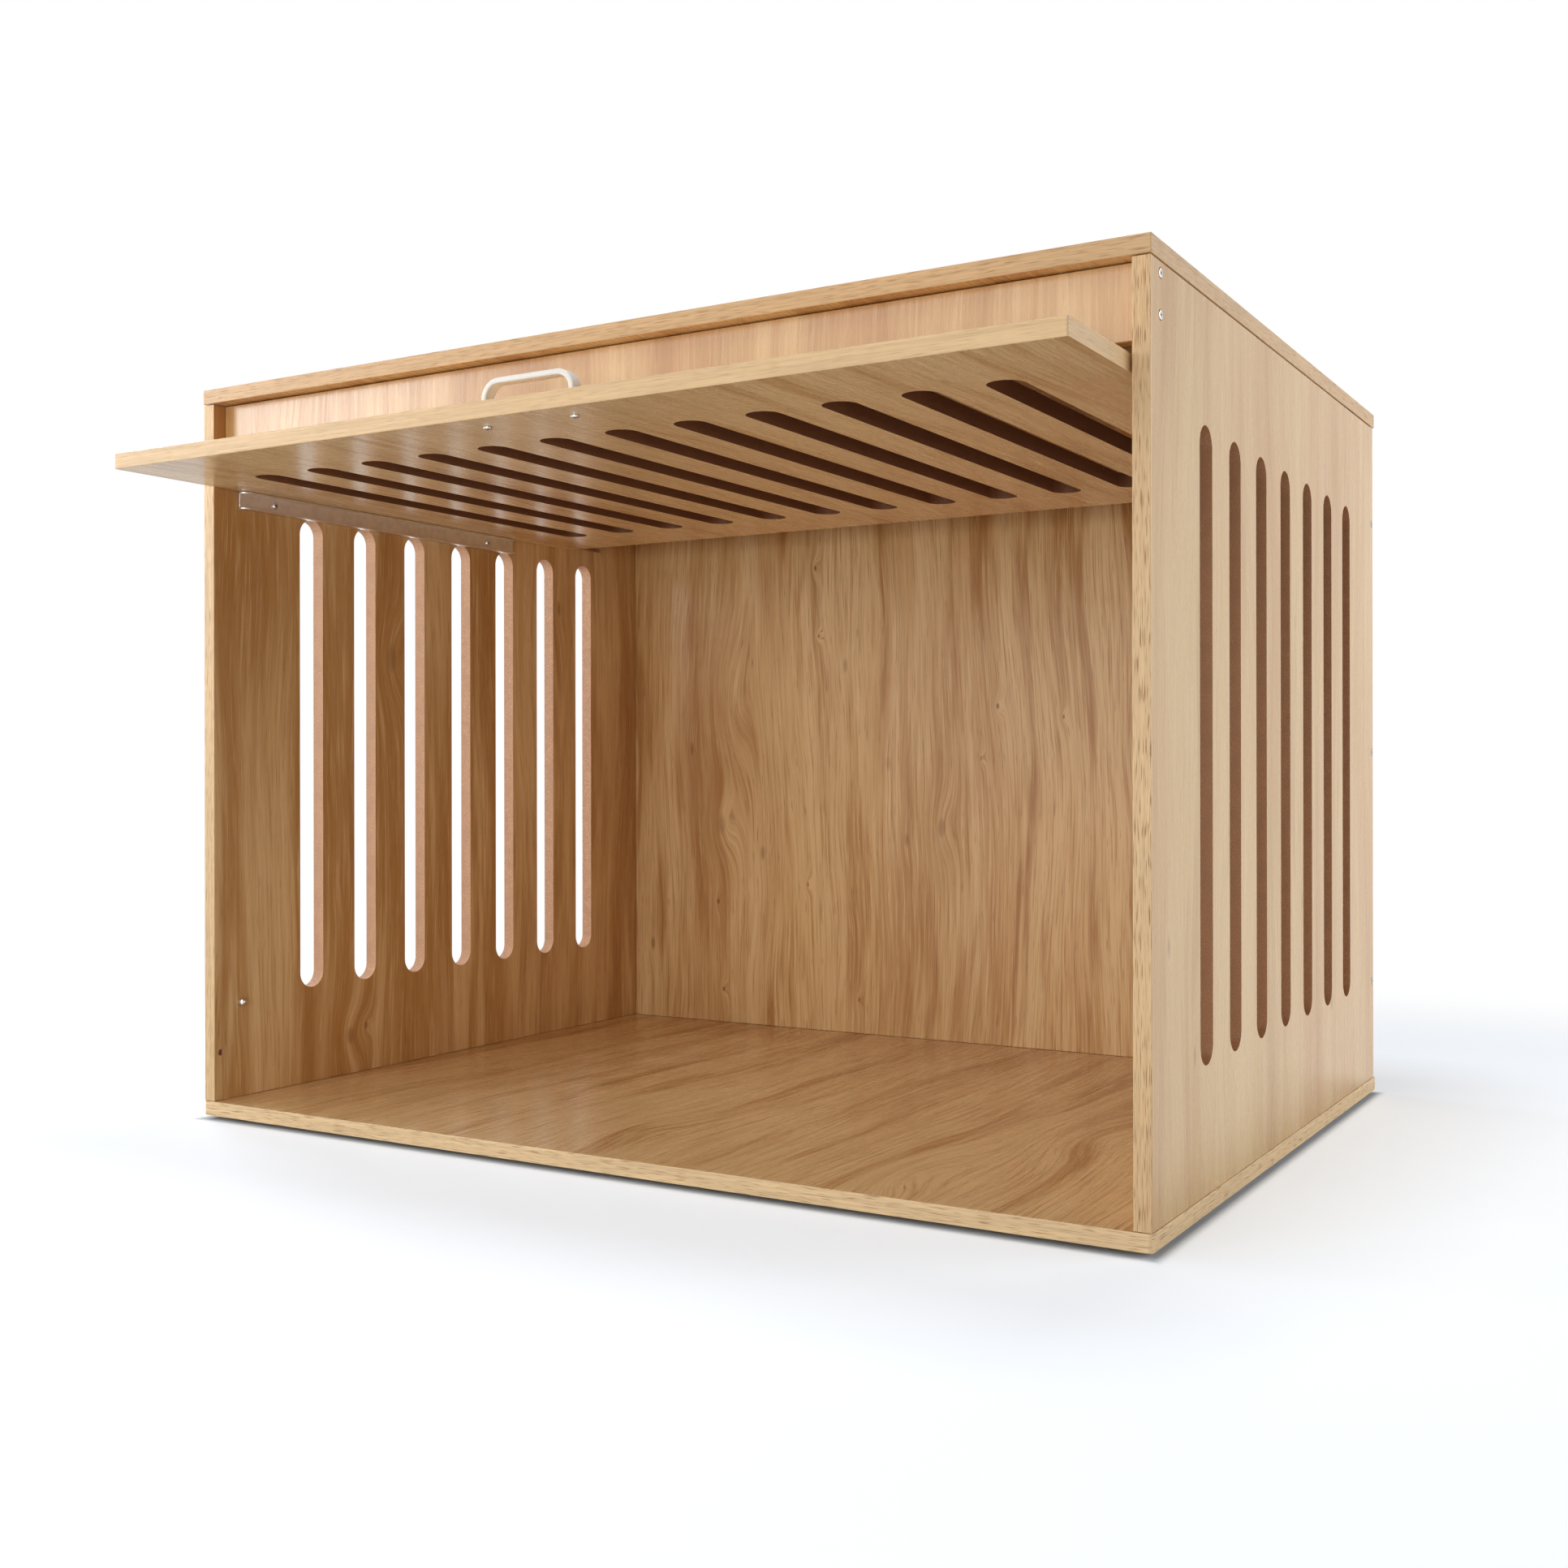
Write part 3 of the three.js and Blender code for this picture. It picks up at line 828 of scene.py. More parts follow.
@dataclass(frozen=True)
class EdgeBand:
    """Edge band a little paler than the faces, with short dark pore dashes along the edge.

    Attributes:
        name: Name of the material.
        along: Axis that the band's dashes follow.
        facing: Axis that the band's surface faces.
        marks: Strength of the dashes.
        base: Its own colour.
        dash: Colour of the dashes.
    """

    name: str
    along: Axis
    facing: Axis
    marks: float
    base: Colour
    dash: Colour = paint(152, 106, 58)

    def material(self) -> bpy.types.Material:
        """Build the material.

        Returns:
            The material.
        """
        tree = Tree(self.name)
        axes = tree.coordinates()
        other = next(axis for axis in Axis if axis not in (self.along, self.facing))
        along, across = axes[self.along.value], axes[other.value]
        depth = DEPTH_RATE * (1 + self.along.value)
        bend = tree.stretched(across, along, depth, Grain(40.0, 9.0, 1.0))
        shifted = tree.total(across, tree.scaled(bend, 0.001))
        streak = tree.stretched(shifted, along, depth, Grain(420.0, 8.0, 2.0))
        dashes = tree.stretched(shifted, along, depth, Grain(1300.0, 48.0, 1.0))
        clumps = tree.stretched(shifted, along, depth, Grain(200.0, 12.0, 1.0))
        cloud = tree.stretched(across, along, depth, Grain(20.0, 5.0, 2.0))
        tone = tree.blend(tree.ranged(streak, 0.32, 0.68), self.base, tinted(self.base, 1.22))
        tone = tree.blend(tree.ranged(cloud, 0.35, 0.7, 0.0, 0.25), tone, self.base)
        mark = tree.calc("MULTIPLY", tree.ranged(dashes, 0.48, 0.30),
                         tree.ranged(clumps, 0.30, 0.56, 0.45, 1.0))
        tone = tree.blend(tree.scaled(mark, self.marks), tone, self.dash)
        return tree.finished(tone, tree.ranged(dashes, 0.3, 0.6, 0.46, 0.38),
                             tree.bump(dashes, 0.00008, 0.5))


@dataclass(frozen=True)
class Core:
    """Sealed fibreboard on slot walls and in holes: even brown with a fine felted grain.

    Attributes:
        name: Name of the material.
        base: Its colour.
    """

    name: str
    base: Colour

    def material(self) -> bpy.types.Material:
        """Build the material.

        Returns:
            The material.
        """
        tree = Tree(self.name)
        place = tree.place()
        felt = tree.noise(place, 3.0, 0.7, 900.0)
        cloud = tree.noise(place, 2.0, 0.5, 60.0)
        fleck = tinted(self.base, 0.55)
        tone = tree.blend(tree.ranged(felt, 0.35, 0.7), fleck, self.base)
        tone = tree.blend(tree.ranged(cloud, 0.4, 0.65, 0.0, 0.3), tone, fleck)
        return tree.finished(tone, 0.6, tree.bump(felt, 0.0001, 0.6))


@dataclass(frozen=True)
class Metal:
    """A metal with fine scratches and a slightly uneven polish.

    Attributes:
        name: Name of the material.
        colour: Its reflection colour.
        roughness: Its mean roughness.
        drawn: Axis along which it was drawn or brushed, or None for a tumbled finish.
        fine: Frequency of the scratches.
        long: Their frequency along the drawn axis.
    """

    name: str
    colour: Colour
    roughness: float
    drawn: Axis | None = None
    fine: float = 2600.0
    long: float = 30.0

    def material(self) -> bpy.types.Material:
        """Build the material.

        Returns:
            The material.
        """
        tree = Tree(self.name)
        scales = [self.long if axis is self.drawn else self.fine for axis in Axis]
        place = tree.point(*map(tree.scaled, tree.coordinates(), scales))
        lines = tree.noise(place, 2.0, 0.6)
        cloud = tree.ranged(tree.noise(tree.place(), 2.0, 0.5, 120.0), 0.35, 0.7, 0.0, 0.6)
        dull = tree.ranged(lines, 0.3, 0.7, self.roughness - 0.06, self.roughness + 0.08)
        return tree.finished(tree.blend(cloud, self.colour, tinted(self.colour, 0.82)), dull,
                             tree.bump(lines, 0.00002, 0.4), {"Metallic": 1.0})


@dataclass(frozen=True)
class PowderCoat:
    """White powder coat with a fine orange peel.

    Attributes:
        name: Name of the material.
        colour: Its colour.
    """

    name: str
    colour: Colour = paint(246, 244, 240)

    def material(self) -> bpy.types.Material:
        """Build the material.

        Returns:
            The material.
        """
        tree = Tree(self.name)
        peel = tree.noise(tree.place(), 2.0, 0.5, 700.0)
        cloud = tree.ranged(tree.noise(tree.place(), 2.0, 0.5, 40.0), 0.4, 0.7, 0.0, 0.5)
        return tree.finished(tree.blend(cloud, self.colour, tinted(self.colour, 0.93)),
                             tree.ranged(peel, 0.3, 0.7, 0.26, 0.34), tree.bump(peel, 0.00006, 0.5))


@dataclass(frozen=True)
class Moulded:
    """Moulded plastic with a fine spark-eroded texture.

    Attributes:
        name: Name of the material.
        colour: Its colour.
    """

    name: str
    colour: Colour

    def material(self) -> bpy.types.Material:
        """Build the material.

        Returns:
            The material.
        """
        tree = Tree(self.name)
        grit = tree.noise(tree.place(), 3.0, 0.6, 1500.0)
        scuff = tree.ranged(tree.noise(tree.place(), 2.0, 0.5, 90.0), 0.5, 0.75, 0.0, 0.5)
        return tree.finished(tree.blend(scuff, self.colour, tinted(self.colour, 1.6)),
                             tree.ranged(grit, 0.3, 0.7, 0.45, 0.62), tree.bump(grit, 0.00008, 0.6))


@dataclass(frozen=True)
class Beech:
    """Turned beech with short ray flecks.

    Attributes:
        name: Name of the material.
        base: Its colour.
        fleck: Colour of the flecks.
    """

    name: str
    base: Colour = paint(222, 186, 140)
    fleck: Colour = paint(178, 132, 88)

    def material(self) -> bpy.types.Material:
        """Build the material.

        Returns:
            The material.
        """
        tree = Tree(self.name)
        axes = tree.coordinates()
        rays = tree.noise(tree.point(*map(tree.scaled, axes, (1800.0, 1800.0, 260.0))), 2.0)
        growth = tree.noise(tree.point(*map(tree.scaled, axes, (400.0, 400.0, 12.0))), 2.0)
        tone = tree.blend(tree.ranged(growth, 0.35, 0.65, 0.0, 0.4), self.base, self.fleck)
        tone = tree.blend(tree.ranged(rays, 0.42, 0.28, 0.0, 0.6), tone, self.fleck)
        return tree.finished(tone, 0.6, tree.bump(rays, 0.00005, 0.5))


STEEL = Metal("nickel_plate", paint(222, 221, 217), 0.24)
ZINC = Metal("zinc_plate", paint(196, 200, 204), 0.36)
RAIL_METAL = Metal("satin_channel", paint(238, 236, 236), 0.34, Axis.Y)
BRASS = Metal("turned_brass", paint(214, 180, 104), 0.26)


# ---------- cutting tools for boards ----------

@dataclass(frozen=True)
class Slot:
    """A round-ended slot through, or a groove into, a board.

    Attributes:
        low: Lowest corner of the box that it fills.
        high: Highest corner of that box.
        through: Axis along which it is cut.
        steps: Steps in each round end.
    """

    low: Vector
    high: Vector
    through: Axis
    steps: int = 28

    def tool(self) -> bpy.types.Object:
        """The solid to cut away.

        Returns:
            A block whose edges along the cut are rounded to half its width.
        """
        piece = block("slot_tool", self.low, self.high)
        size, way = self.high - self.low, self.through.value
        radius = min(size[a.value] for a in Axis if a is not self.through) / 2
        round_edges(piece, lambda a, b: abs((a - b)[way]) > 0.9 * size[way], radius * 0.9999,
                    self.steps)
        return piece


@dataclass(frozen=True)
class Bore:
    """A round hole along an axis.

    Attributes:
        at: Centre of its mouth.
        into: Direction from the mouth into the board.
        radius: Its radius.
        depth: Its depth.
        point: Depth of its pointed floor, over the radius.
        tip: Radius of the point's end, over the radius.
    """

    at: Vector
    into: Vector
    radius: float
    depth: float
    point: float = 0.3
    tip: float = 0.05

    def tool(self) -> bpy.types.Object:
        """The solid to cut away.

        Returns:
            A rod with a pointed end, as a drill leaves.
        """
        piece = drum("bore_tool", self.radius, -OVERSHOOT, self.depth)
        pick_faces(piece, faces_up)
        draw_up(self.radius * self.point)
        narrow(self.tip, self.tip)
        leave_edit()
        stand(piece, self.at, self.into)
        return piece


def bore_round(node: str, into: Vector, slack: float, mouth: float) -> Bore:
    """A hole that follows a CAD node's box.

    Args:
        node: The node that sits in the hole.
        into: Direction of the hole.
        slack: Clearance all round.
        mouth: Place of the hole's mouth on that axis.

    Returns:
        The hole.
    """
    low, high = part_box(node)
    axis = max(range(3), key=lambda i: abs(into[i]))
    at = middle(node)
    at[axis] = mouth
    far = high[axis] if into[axis] > 0 else low[axis]
    radius = max((high - low)[i] for i in range(3) if i != axis) / 2
    return Bore(at, into, radius + slack, abs(far - mouth) + slack)


# ---------- screws ----------

@dataclass(frozen=True)
class ScrewKind:
    """Screws of one size, with a cross recess.

    Attributes:
        nodes: The CAD nodes that they stand for.
        body: Body that they ride on.
        slot: Their material slot; not used.
        head: Form of the head.
        head_height: Height of the head.
        shank: Radius of the shank.
        finish: Their metal.
        rise: How far a sunk head stands proud.
        rim: Rounding of a sunk head's rim.
        dome: Rounding of a pan head, over its height.
        neck: Length of the plain shank under the head, and of the point.
        pitch: From one turn of the thread to the next.
        root: Radius between the turns, over the shank's.
        tip: Radius of the point's end, over the shank's.
        arm: Reach of the cross recess, over the head's radius.
        wing: Half the width of its wings, over the same.
        deepest: Most that the recess is deep.
        slack: Clearance round a screw in its hole.
    """

    nodes: tuple[str, ...]
    body: str
    slot: str
    head: Head
    head_height: float
    shank: float
    finish: Metal
    rise: float = 0.0004
    rim: float = 0.0003
    dome: float = 0.62
    neck: float = 0.003
    pitch: float = 0.0022
    root: float = 0.8
    tip: float = 0.12
    arm: float = 0.46
    wing: float = 0.16
    deepest: float = 0.0019
    slack: float = 0.0005

    def seat(self, node: str) -> tuple[Vector, Vector, float, float]:
        """Where a screw sits.

        Args:
            node: Its CAD node.

        Returns:
            Its crown, its direction into the wood, its head's radius and its length.
        """
        low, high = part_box(node)
        size = high - low
        axis = max(range(3), key=lambda i: size[i])
        at = middle(node)
        sign = 1.0
        if axis == Axis.X.value:
            inwards = -math.copysign(1.0, at.x)
            sign = inwards if self.head is Head.SUNK else -inwards
        at[axis] = low[axis] if sign > 0 else high[axis]
        radius = min(size[i] for i in range(3) if i != axis) / 2
        return at, unit(Axis(axis), sign), radius, size[axis]

    def hole(self, node: str) -> bpy.types.Object:
        """The solid to cut out of the boards round one screw.

        Args:
            node: The screw's CAD node.

        Returns:
            The solid.
        """
        at, into, radius, length = self.seat(node)
        shank = self.shank + self.slack
        if self.head is Head.PAN:
            tool = drum("screw_hole", shank, self.head_height * 0.9, length + self.slack, 24)
        else:
            mouth = radius + self.slack
            tool = drum("screw_hole", mouth, -OVERSHOOT, self.slack * 1.5)
            pick_faces(tool, faces_up)
            draw_up(self.head_height)
            narrow(shank / mouth, shank / mouth)
            draw_up(length - self.head_height)
            leave_edit()
        stand(tool, at, into)
        return tool

    def crown(self, radius: float) -> bpy.types.Object:
        """The head with its crown at height 0 and the wood towards +Z.

        Args:
            radius: Its radius.

        Returns:
            The head, as the start of a screw.
        """
        pan = self.head is Head.PAN
        top = 0.0 if pan else -self.rise
        piece = drum("screw", radius, top, self.head_height if pan else self.rim)
        rounding, steps = (self.head_height * self.dome, 6) if pan else (self.rim, 2)
        round_edges(piece, lambda a, b: max(a.z, b.z) < top + NEAR, rounding, steps)
        return piece

    def thread(self, length: float) -> None:
        """Draw the selected face out into a threaded shank.

        Args:
            length: Its length.
        """
        for _ in range(int(length / self.pitch)):
            draw_up(self.pitch * 0.4)
            narrow(self.root, self.root)
            draw_up(self.pitch * 0.2)
            narrow(1 / self.root, 1 / self.root)
            draw_up(self.pitch * 0.4)

    def model(self, radius: float, length: float) -> bpy.types.Object:
        """One screw pointing up +Z from its crown.

        Args:
            radius: Head radius.
            length: Overall length.

        Returns:
            The screw, with a threaded-looking shank, a point and a cross recess.
        """
        piece = self.crown(radius)
        pick_faces(piece, faces_up)
        if self.head is Head.SUNK:
            draw_up(self.head_height - self.rim)
            narrow(self.shank / radius, self.shank / radius)
        else:
            bpy.ops.mesh.inset(thickness=radius - self.shank)
        draw_up(self.neck)
        self.thread(length - self.head_height - 2 * self.neck)
        leave_edit()
        end = max(v.co.z for v in piece.data.vertices)
        pick_faces(piece, lambda centre, normal: normal.z > FLAT and centre.z > end - NEAR)
        draw_up(length - end)
        narrow(self.tip, self.tip)
        leave_edit()
        self.recess(piece, radius)
        smooth(piece)
        return piece

    def recess(self, piece: bpy.types.Object, radius: float) -> None:
        """Cut the cross recess: two tapered wings.

        Args:
            piece: The screw.
            radius: Its head's radius.
        """
        arm, wing = radius * self.arm, radius * self.wing
        depth = min(self.head_height * 0.8, self.deepest)
        for x, y in ((arm, wing), (wing, arm)):
            tool = block("wing", (-x, -y, -OVERSHOOT), (x, y, depth))
            pick_faces(tool, faces_up)
            narrow(0.5 if x > y else 0.8, 0.5 if y > x else 0.8)
            leave_edit()
            cut(piece, [tool])

    def paint_recess_shade(self, piece: bpy.types.Object, radius: float) -> None:
        """Give the recess and the rim's flank of a finished screw its second, dark material: painted
        shade.

        Args:
            piece: The screw.
            radius: Its head's radius.
        """
        for face in piece.data.polygons:
            # Faces in the cross recess and on the flank of the proud rim get the dark steel: painted
            # shade.
            inside = face.center.xy.length < radius * self.arm and 0.0001 < face.center.z < 0.002
            rim = abs(face.normal.z) < 0.5 and face.center.z < self.rim
            face.material_index = int(inside or rim)

    def build(self) -> None:
        """Model one screw and put a copy at each place."""
        material = self.finish.material()
        material.name = f"{self.finish.name}_{self.nodes[0]}"
        # Dark steel for the recess and the rim's flank: painted shade.
        shade = Metal(f"recess_{self.nodes[0]}", paint(96, 94, 92), 0.5).material()
        _, _, radius, length = self.seat(self.nodes[0])
        master = self.model(radius, length)
        dress(master, material, shade)
        self.paint_recess_shade(master, radius)
        for node in self.nodes:
            at, into, _, _ = self.seat(node)
            piece = twin(master, node.replace("screw", "cross_screw"))
            stand(piece, at, into)
            finish_piece(piece, self.body, node)
        bpy.data.objects.remove(master)


SCREWS = {
    "fascia": ScrewKind(pair("fascia_screw", "lower", "upper"), "cabinet", "bright_steel",
                        Head.SUNK, 0.0024, 0.002, STEEL),
    "back": ScrewKind(pair("back_screw", "lower", "middle", "upper"), "cabinet", "bright_steel",
                      Head.SUNK, 0.0022, 0.00175, STEEL),
    "base": ScrewKind(pair("base_screw", "front", "middle", "rear"), "cabinet", "zinc",
                      Head.SUNK, 0.003, 0.0025, ZINC),
    "back_base": ScrewKind(pair("back_base_screw"), "cabinet", "zinc",
                           Head.SUNK, 0.0022, 0.00175, ZINC),
    "rail": ScrewKind(pair("rail_screw", "front", "rear"), "cabinet", "bright_steel",
                      Head.PAN, 0.0022, 0.0016, STEEL),
    "handle": ScrewKind(pair("handle_screw"), "door", "bright_steel",
                        Head.PAN, 0.0022, 0.0018, STEEL),
}


def screw_holes(names: Iterable[str], side: Side | None = None) -> list[bpy.types.Object]:
    """Cutting solids for the screws of some kinds.

    Args:
        names: The kinds.
        side: The side that they are on, or None for both.

    Returns:
        The solids.
    """
    mark = f"_{side.label}" if side else ""
    return [SCREWS[name].hole(node) for name in names for node in SCREWS[name].nodes if mark in node]


# ---------- boards ----------

@dataclass
class Board:
    """A board with printed faces, banded edges, and its slots and holes.

    Attributes:
        node: The CAD node that it stands for.
        name: Its name here.
        run: How the grain runs.
        body: Body that it rides on.
        knots: Knots in its print.
        corner: Radius of its upright front corners.
        rear_corner: Radius of its upright rear corners.
        edge: Rounding along all its edges.
        contrast: Strength of its figure.
        shade: Painted shade that darkens its print, or painted light that makes it paler when below
            zero.
        marks: Strength of the dashes on its edge bands.
        band: Colour of its edge bands; paler on the floor board as painted light, darker on the top
            board as painted shade.
        core: Colour of its core on slot walls and in holes; paler in the left side as painted light,
            darker in the door as painted shade.
        gloss: Specular level of its print.
        core: Colour of its core on slot walls and in holes.
        top_gap: Shadow gap left under the top panel.
        slots: Its slots.
    """

    node: str
    name: str
    run: Run
    body: str = "cabinet"
    knots: tuple[Knot, ...] = ()
    corner: float = 0.0
    rear_corner: float = 0.0
    edge: float = 0.0006
    contrast: float = 1.0
    shade: float = 0.0
    marks: float = 0.7
    band: Colour = paint(218, 182, 134)
    gloss: float = 0.5
    core: Colour = paint(194, 136, 90)
    top_gap: float = 0.0
    slots: list[Slot] = field(default_factory=list)

    def __post_init__(self) -> None:
        """Read the board's box."""
        self.low, self.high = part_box(self.node)

    def round_corners(self, piece: bpy.types.Object) -> None:
        """Round the upright corners of a lying board.

        Args:
            piece: The board.
        """
        for radius, y in ((self.corner, self.low.y), (self.rear_corner, self.high.y)):
            if radius:
                round_edges(piece, lambda a, b: abs(a.y - y) < NEAR and abs(b.y - y) < NEAR
                            and abs(a.z - b.z) > UPRIGHT, radius, 6)

    def holes(self) -> list[bpy.types.Object]:
        """Cutting solids for its holes."""
        return []

    def sort_faces(self, piece: bpy.types.Object) -> None:
        """Give each face its printed, banded or core surface by its place.

        Args:
            piece: The board.
        """
        thin = self.run.through.value
        reach = self.edge * 1.5
        corner = max(self.corner, self.rear_corner) + reach
        flat = [i for i in range(3) if i != thin]
        for face in piece.data.polygons:
            centre, normal = face.center, face.normal
            inset = [min(centre[i] - self.low[i], self.high[i] - centre[i]) for i in range(3)]
            depth = inset.pop(thin)
            if abs(normal[thin]) > 0.8 and depth < self.edge * 0.5:
                spot = Spot.FACE
            elif min(inset) < reach or max(inset) < corner:
                along_first = abs(normal[flat[1]]) >= abs(normal[flat[0]])
                spot = Spot.LONG_BAND if along_first else Spot.SHORT_BAND
            else:
                spot = Spot.CORE
            face.material_index = spot.value

    def build(self) -> None:
        """Model the board, cut it and dress it."""
        self.high.z -= self.top_gap
        piece = block(self.name, self.low, self.high)
        self.round_corners(piece)
        ease(piece, self.edge)
        cut(piece, [slot.tool() for slot in self.slots])
        cut(piece, self.holes())
        first, second = (a for a in Axis if a is not self.run.through)
        printed = OakFace(f"{self.name}_print", self.run, self.knots, self.contrast, self.shade,
                          self.gloss)
        dress(piece, printed.material(),
              EdgeBand(f"{self.name}_long_band", first, second, self.marks, self.band).material(),
              EdgeBand(f"{self.name}_short_band", second, first, self.marks, self.band).material(),
              Core(f"{self.name}_core", self.core).material())
        self.sort_faces(piece)
        finish_piece(piece, self.body, self.node)


@dataclass
class CoverBoard(Board):
    """The top or the bottom panel."""

    def holes(self) -> list[bpy.types.Object]:
        """Holes for the screws or fittings that this panel takes.

        Returns:
            Their cutting solids.
        """
        if self.node == "bottom_panel":
            return screw_holes(("base", "back_base"))
        nodes = [node for stem in ("cam_bolt", "dowel") for node in pair(stem, "front", "rear")]
        return [bore_round(node, unit(Axis.Z), FIT, self.low.z - OVERSHOOT).tool() for node in nodes]


@dataclass
class SidePanel(Board):
    """A slotted side panel, with the groove for the door's pivot pin.

    Attributes:
        side: The side that it closes.
        slot_count: How many slots it has.
        slot_width: Width of a slot.
        end_margin: From the panel's top or bottom edge to a slot's end.
        front_margin: From the front edge to the first slot's centre line.
        rear_margin: From the rear edge to the last slot's centre line.
        groove_half: Half the groove's height.
        groove_depth: Its depth.
        groove_front: From the front edge to the centre of its front end.
        peg_radius: Radius of the peg's hole.
        peg_depth: Its depth.
        keeper_radius: Radius of the small hole that the door's ball drops into.
        keeper_depth: Its depth.
        keeper_setback: Its distance from the front edge.
        keeper_rise: Its height above the panel's lower edge.
    """

    side: Side = Side.LEFT
    slot_count: int = 7
    slot_width: float = 0.0345
    end_margin: float = 0.1067
    front_margin: float = 0.1379
    rear_margin: float = 0.1317
    groove_half: float = 0.003
    groove_depth: float = 0.0085
    groove_front: float = 0.0085
    peg_radius: float = 0.0023
    peg_depth: float = 0.0123
    keeper_radius: float = 0.0035
    keeper_depth: float = 0.006
    keeper_setback: float = 0.0085
    keeper_rise: float = 0.051

    def __post_init__(self) -> None:
        """Work out the slots from the panel's box."""
        super().__post_init__()
        half = self.slot_width / 2
        left, right = self.low.x - OVERSHOOT, self.high.x + OVERSHOOT
        bottom, top = self.low.z + self.end_margin, self.high.z - self.end_margin
        self.inner = self.high.x if self.side is Side.LEFT else self.low.x
        for y in spread(self.slot_count, self.low.y + self.front_margin, self.high.y - self.rear_margin):
            self.slots.append(Slot(Vector((left, y - half, bottom)), Vector((right, y + half, top)),
                                   Axis.X))

    def groove(self) -> Slot:
        """The groove for the pivot pin.

        Returns:
            The groove, from near the front edge to where the pin ends its travel.
        """
        pin = middle(f"pivot_pin_{self.side.label}")
        front = self.low.y + self.groove_front - self.groove_half
        rear = pin.y - travel("door_slide")[0] + self.groove_half
        bottom = self.inner + self.side.value * self.groove_depth
        mouth = self.inner - self.side.value * OVERSHOOT
        return Slot(Vector((min(bottom, mouth), front, pin.z - self.groove_half)),
                    Vector((max(bottom, mouth), rear, pin.z + self.groove_half)), Axis.X, 12)

    def holes(self) -> list[bpy.types.Object]:
        """The groove, and the holes for screws, pegs, fittings and the catch.

        Returns:
            Their cutting solids.
        """
        out = unit(Axis.X, self.side.value)
        tools = [self.groove().tool()]
        tools += screw_holes(("fascia", "back", "base", "rail"), self.side)
        at = middle(f"wall_peg_{self.side.label}")
        at.x = self.inner
        tools.append(Bore(at, out, self.peg_radius, self.peg_depth).tool())
        for end in (f"{self.side.label}_front", f"{self.side.label}_rear"):
            tools.append(bore_round(f"cam_lock_{end}", out, FIT, self.inner).tool())
            for stem in ("cam_bolt", "dowel"):
                tools.append(bore_round(f"{stem}_{end}", unit(Axis.Z, -1), FIT,
                                        self.high.z + OVERSHOOT).tool())
        if self.side is Side.LEFT:
            at = Vector((self.inner, self.low.y + self.keeper_setback, self.low.z + self.keeper_rise))
            tools.append(Bore(at, out, self.keeper_radius, self.keeper_depth).tool())
        return tools


@dataclass
class BackBoard(Board):
    """The back panel or the fascia board, between the side panels.

    Attributes:
        screws: Kinds of the screws that end in it.
    """

    screws: tuple[str, ...] = ()

    def holes(self) -> list[bpy.types.Object]:
        """Holes for the screws that end in it."""
        return screw_holes(self.screws)


@dataclass
class DoorBoard(Board):
    """The slotted door.

    Attributes:
        slot_count: How many slots it has.
        slot_width: Width of a slot.
        end_margin: From the front or rear edge to a slot's end.
        side_margin: From a side edge to the first slot's centre line.
        pin_radius: Radius of the pivot pins' holes.
    """

    slot_count: int = 12
    slot_width: float = 0.032
    end_margin: float = 0.0995
    side_margin: float = 0.0965
    pin_radius: float = 0.0028

    def __post_init__(self) -> None:
        """Work out the slots from the door's box."""
        super().__post_init__()
        half = self.slot_width / 2
        front, rear = self.low.y + self.end_margin, self.high.y - self.end_margin
        bottom, top = self.low.z - OVERSHOOT, self.high.z + OVERSHOOT
        for x in spread(self.slot_count, self.low.x + self.side_margin, self.high.x - self.side_margin):
            self.slots.append(Slot(Vector((x - half, front, bottom)), Vector((x + half, rear, top)),
                                   Axis.Z))

    def holes(self) -> list[bpy.types.Object]:
        """Holes for the pivot pins, the catch and the handle's screws.

        Returns:
            Their cutting solids.
        """
        tools = screw_holes(("handle",))
        for side in Side:
            low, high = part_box(f"pivot_pin_{side.label}")
            mouth, end = (self.low.x, high.x) if side is Side.LEFT else (self.high.x, low.x)
            at = Vector((mouth, (low.y + high.y) / 2, (low.z + high.z) / 2))
            tools.append(Bore(at, unit(Axis.X, -side.value), self.pin_radius,
                              abs(mouth - end) + FIT).tool())
        tools.append(bore_round("catch_barrel", unit(Axis.X), FIT, self.low.x).tool())
        return tools


# ---------- hardware ----------

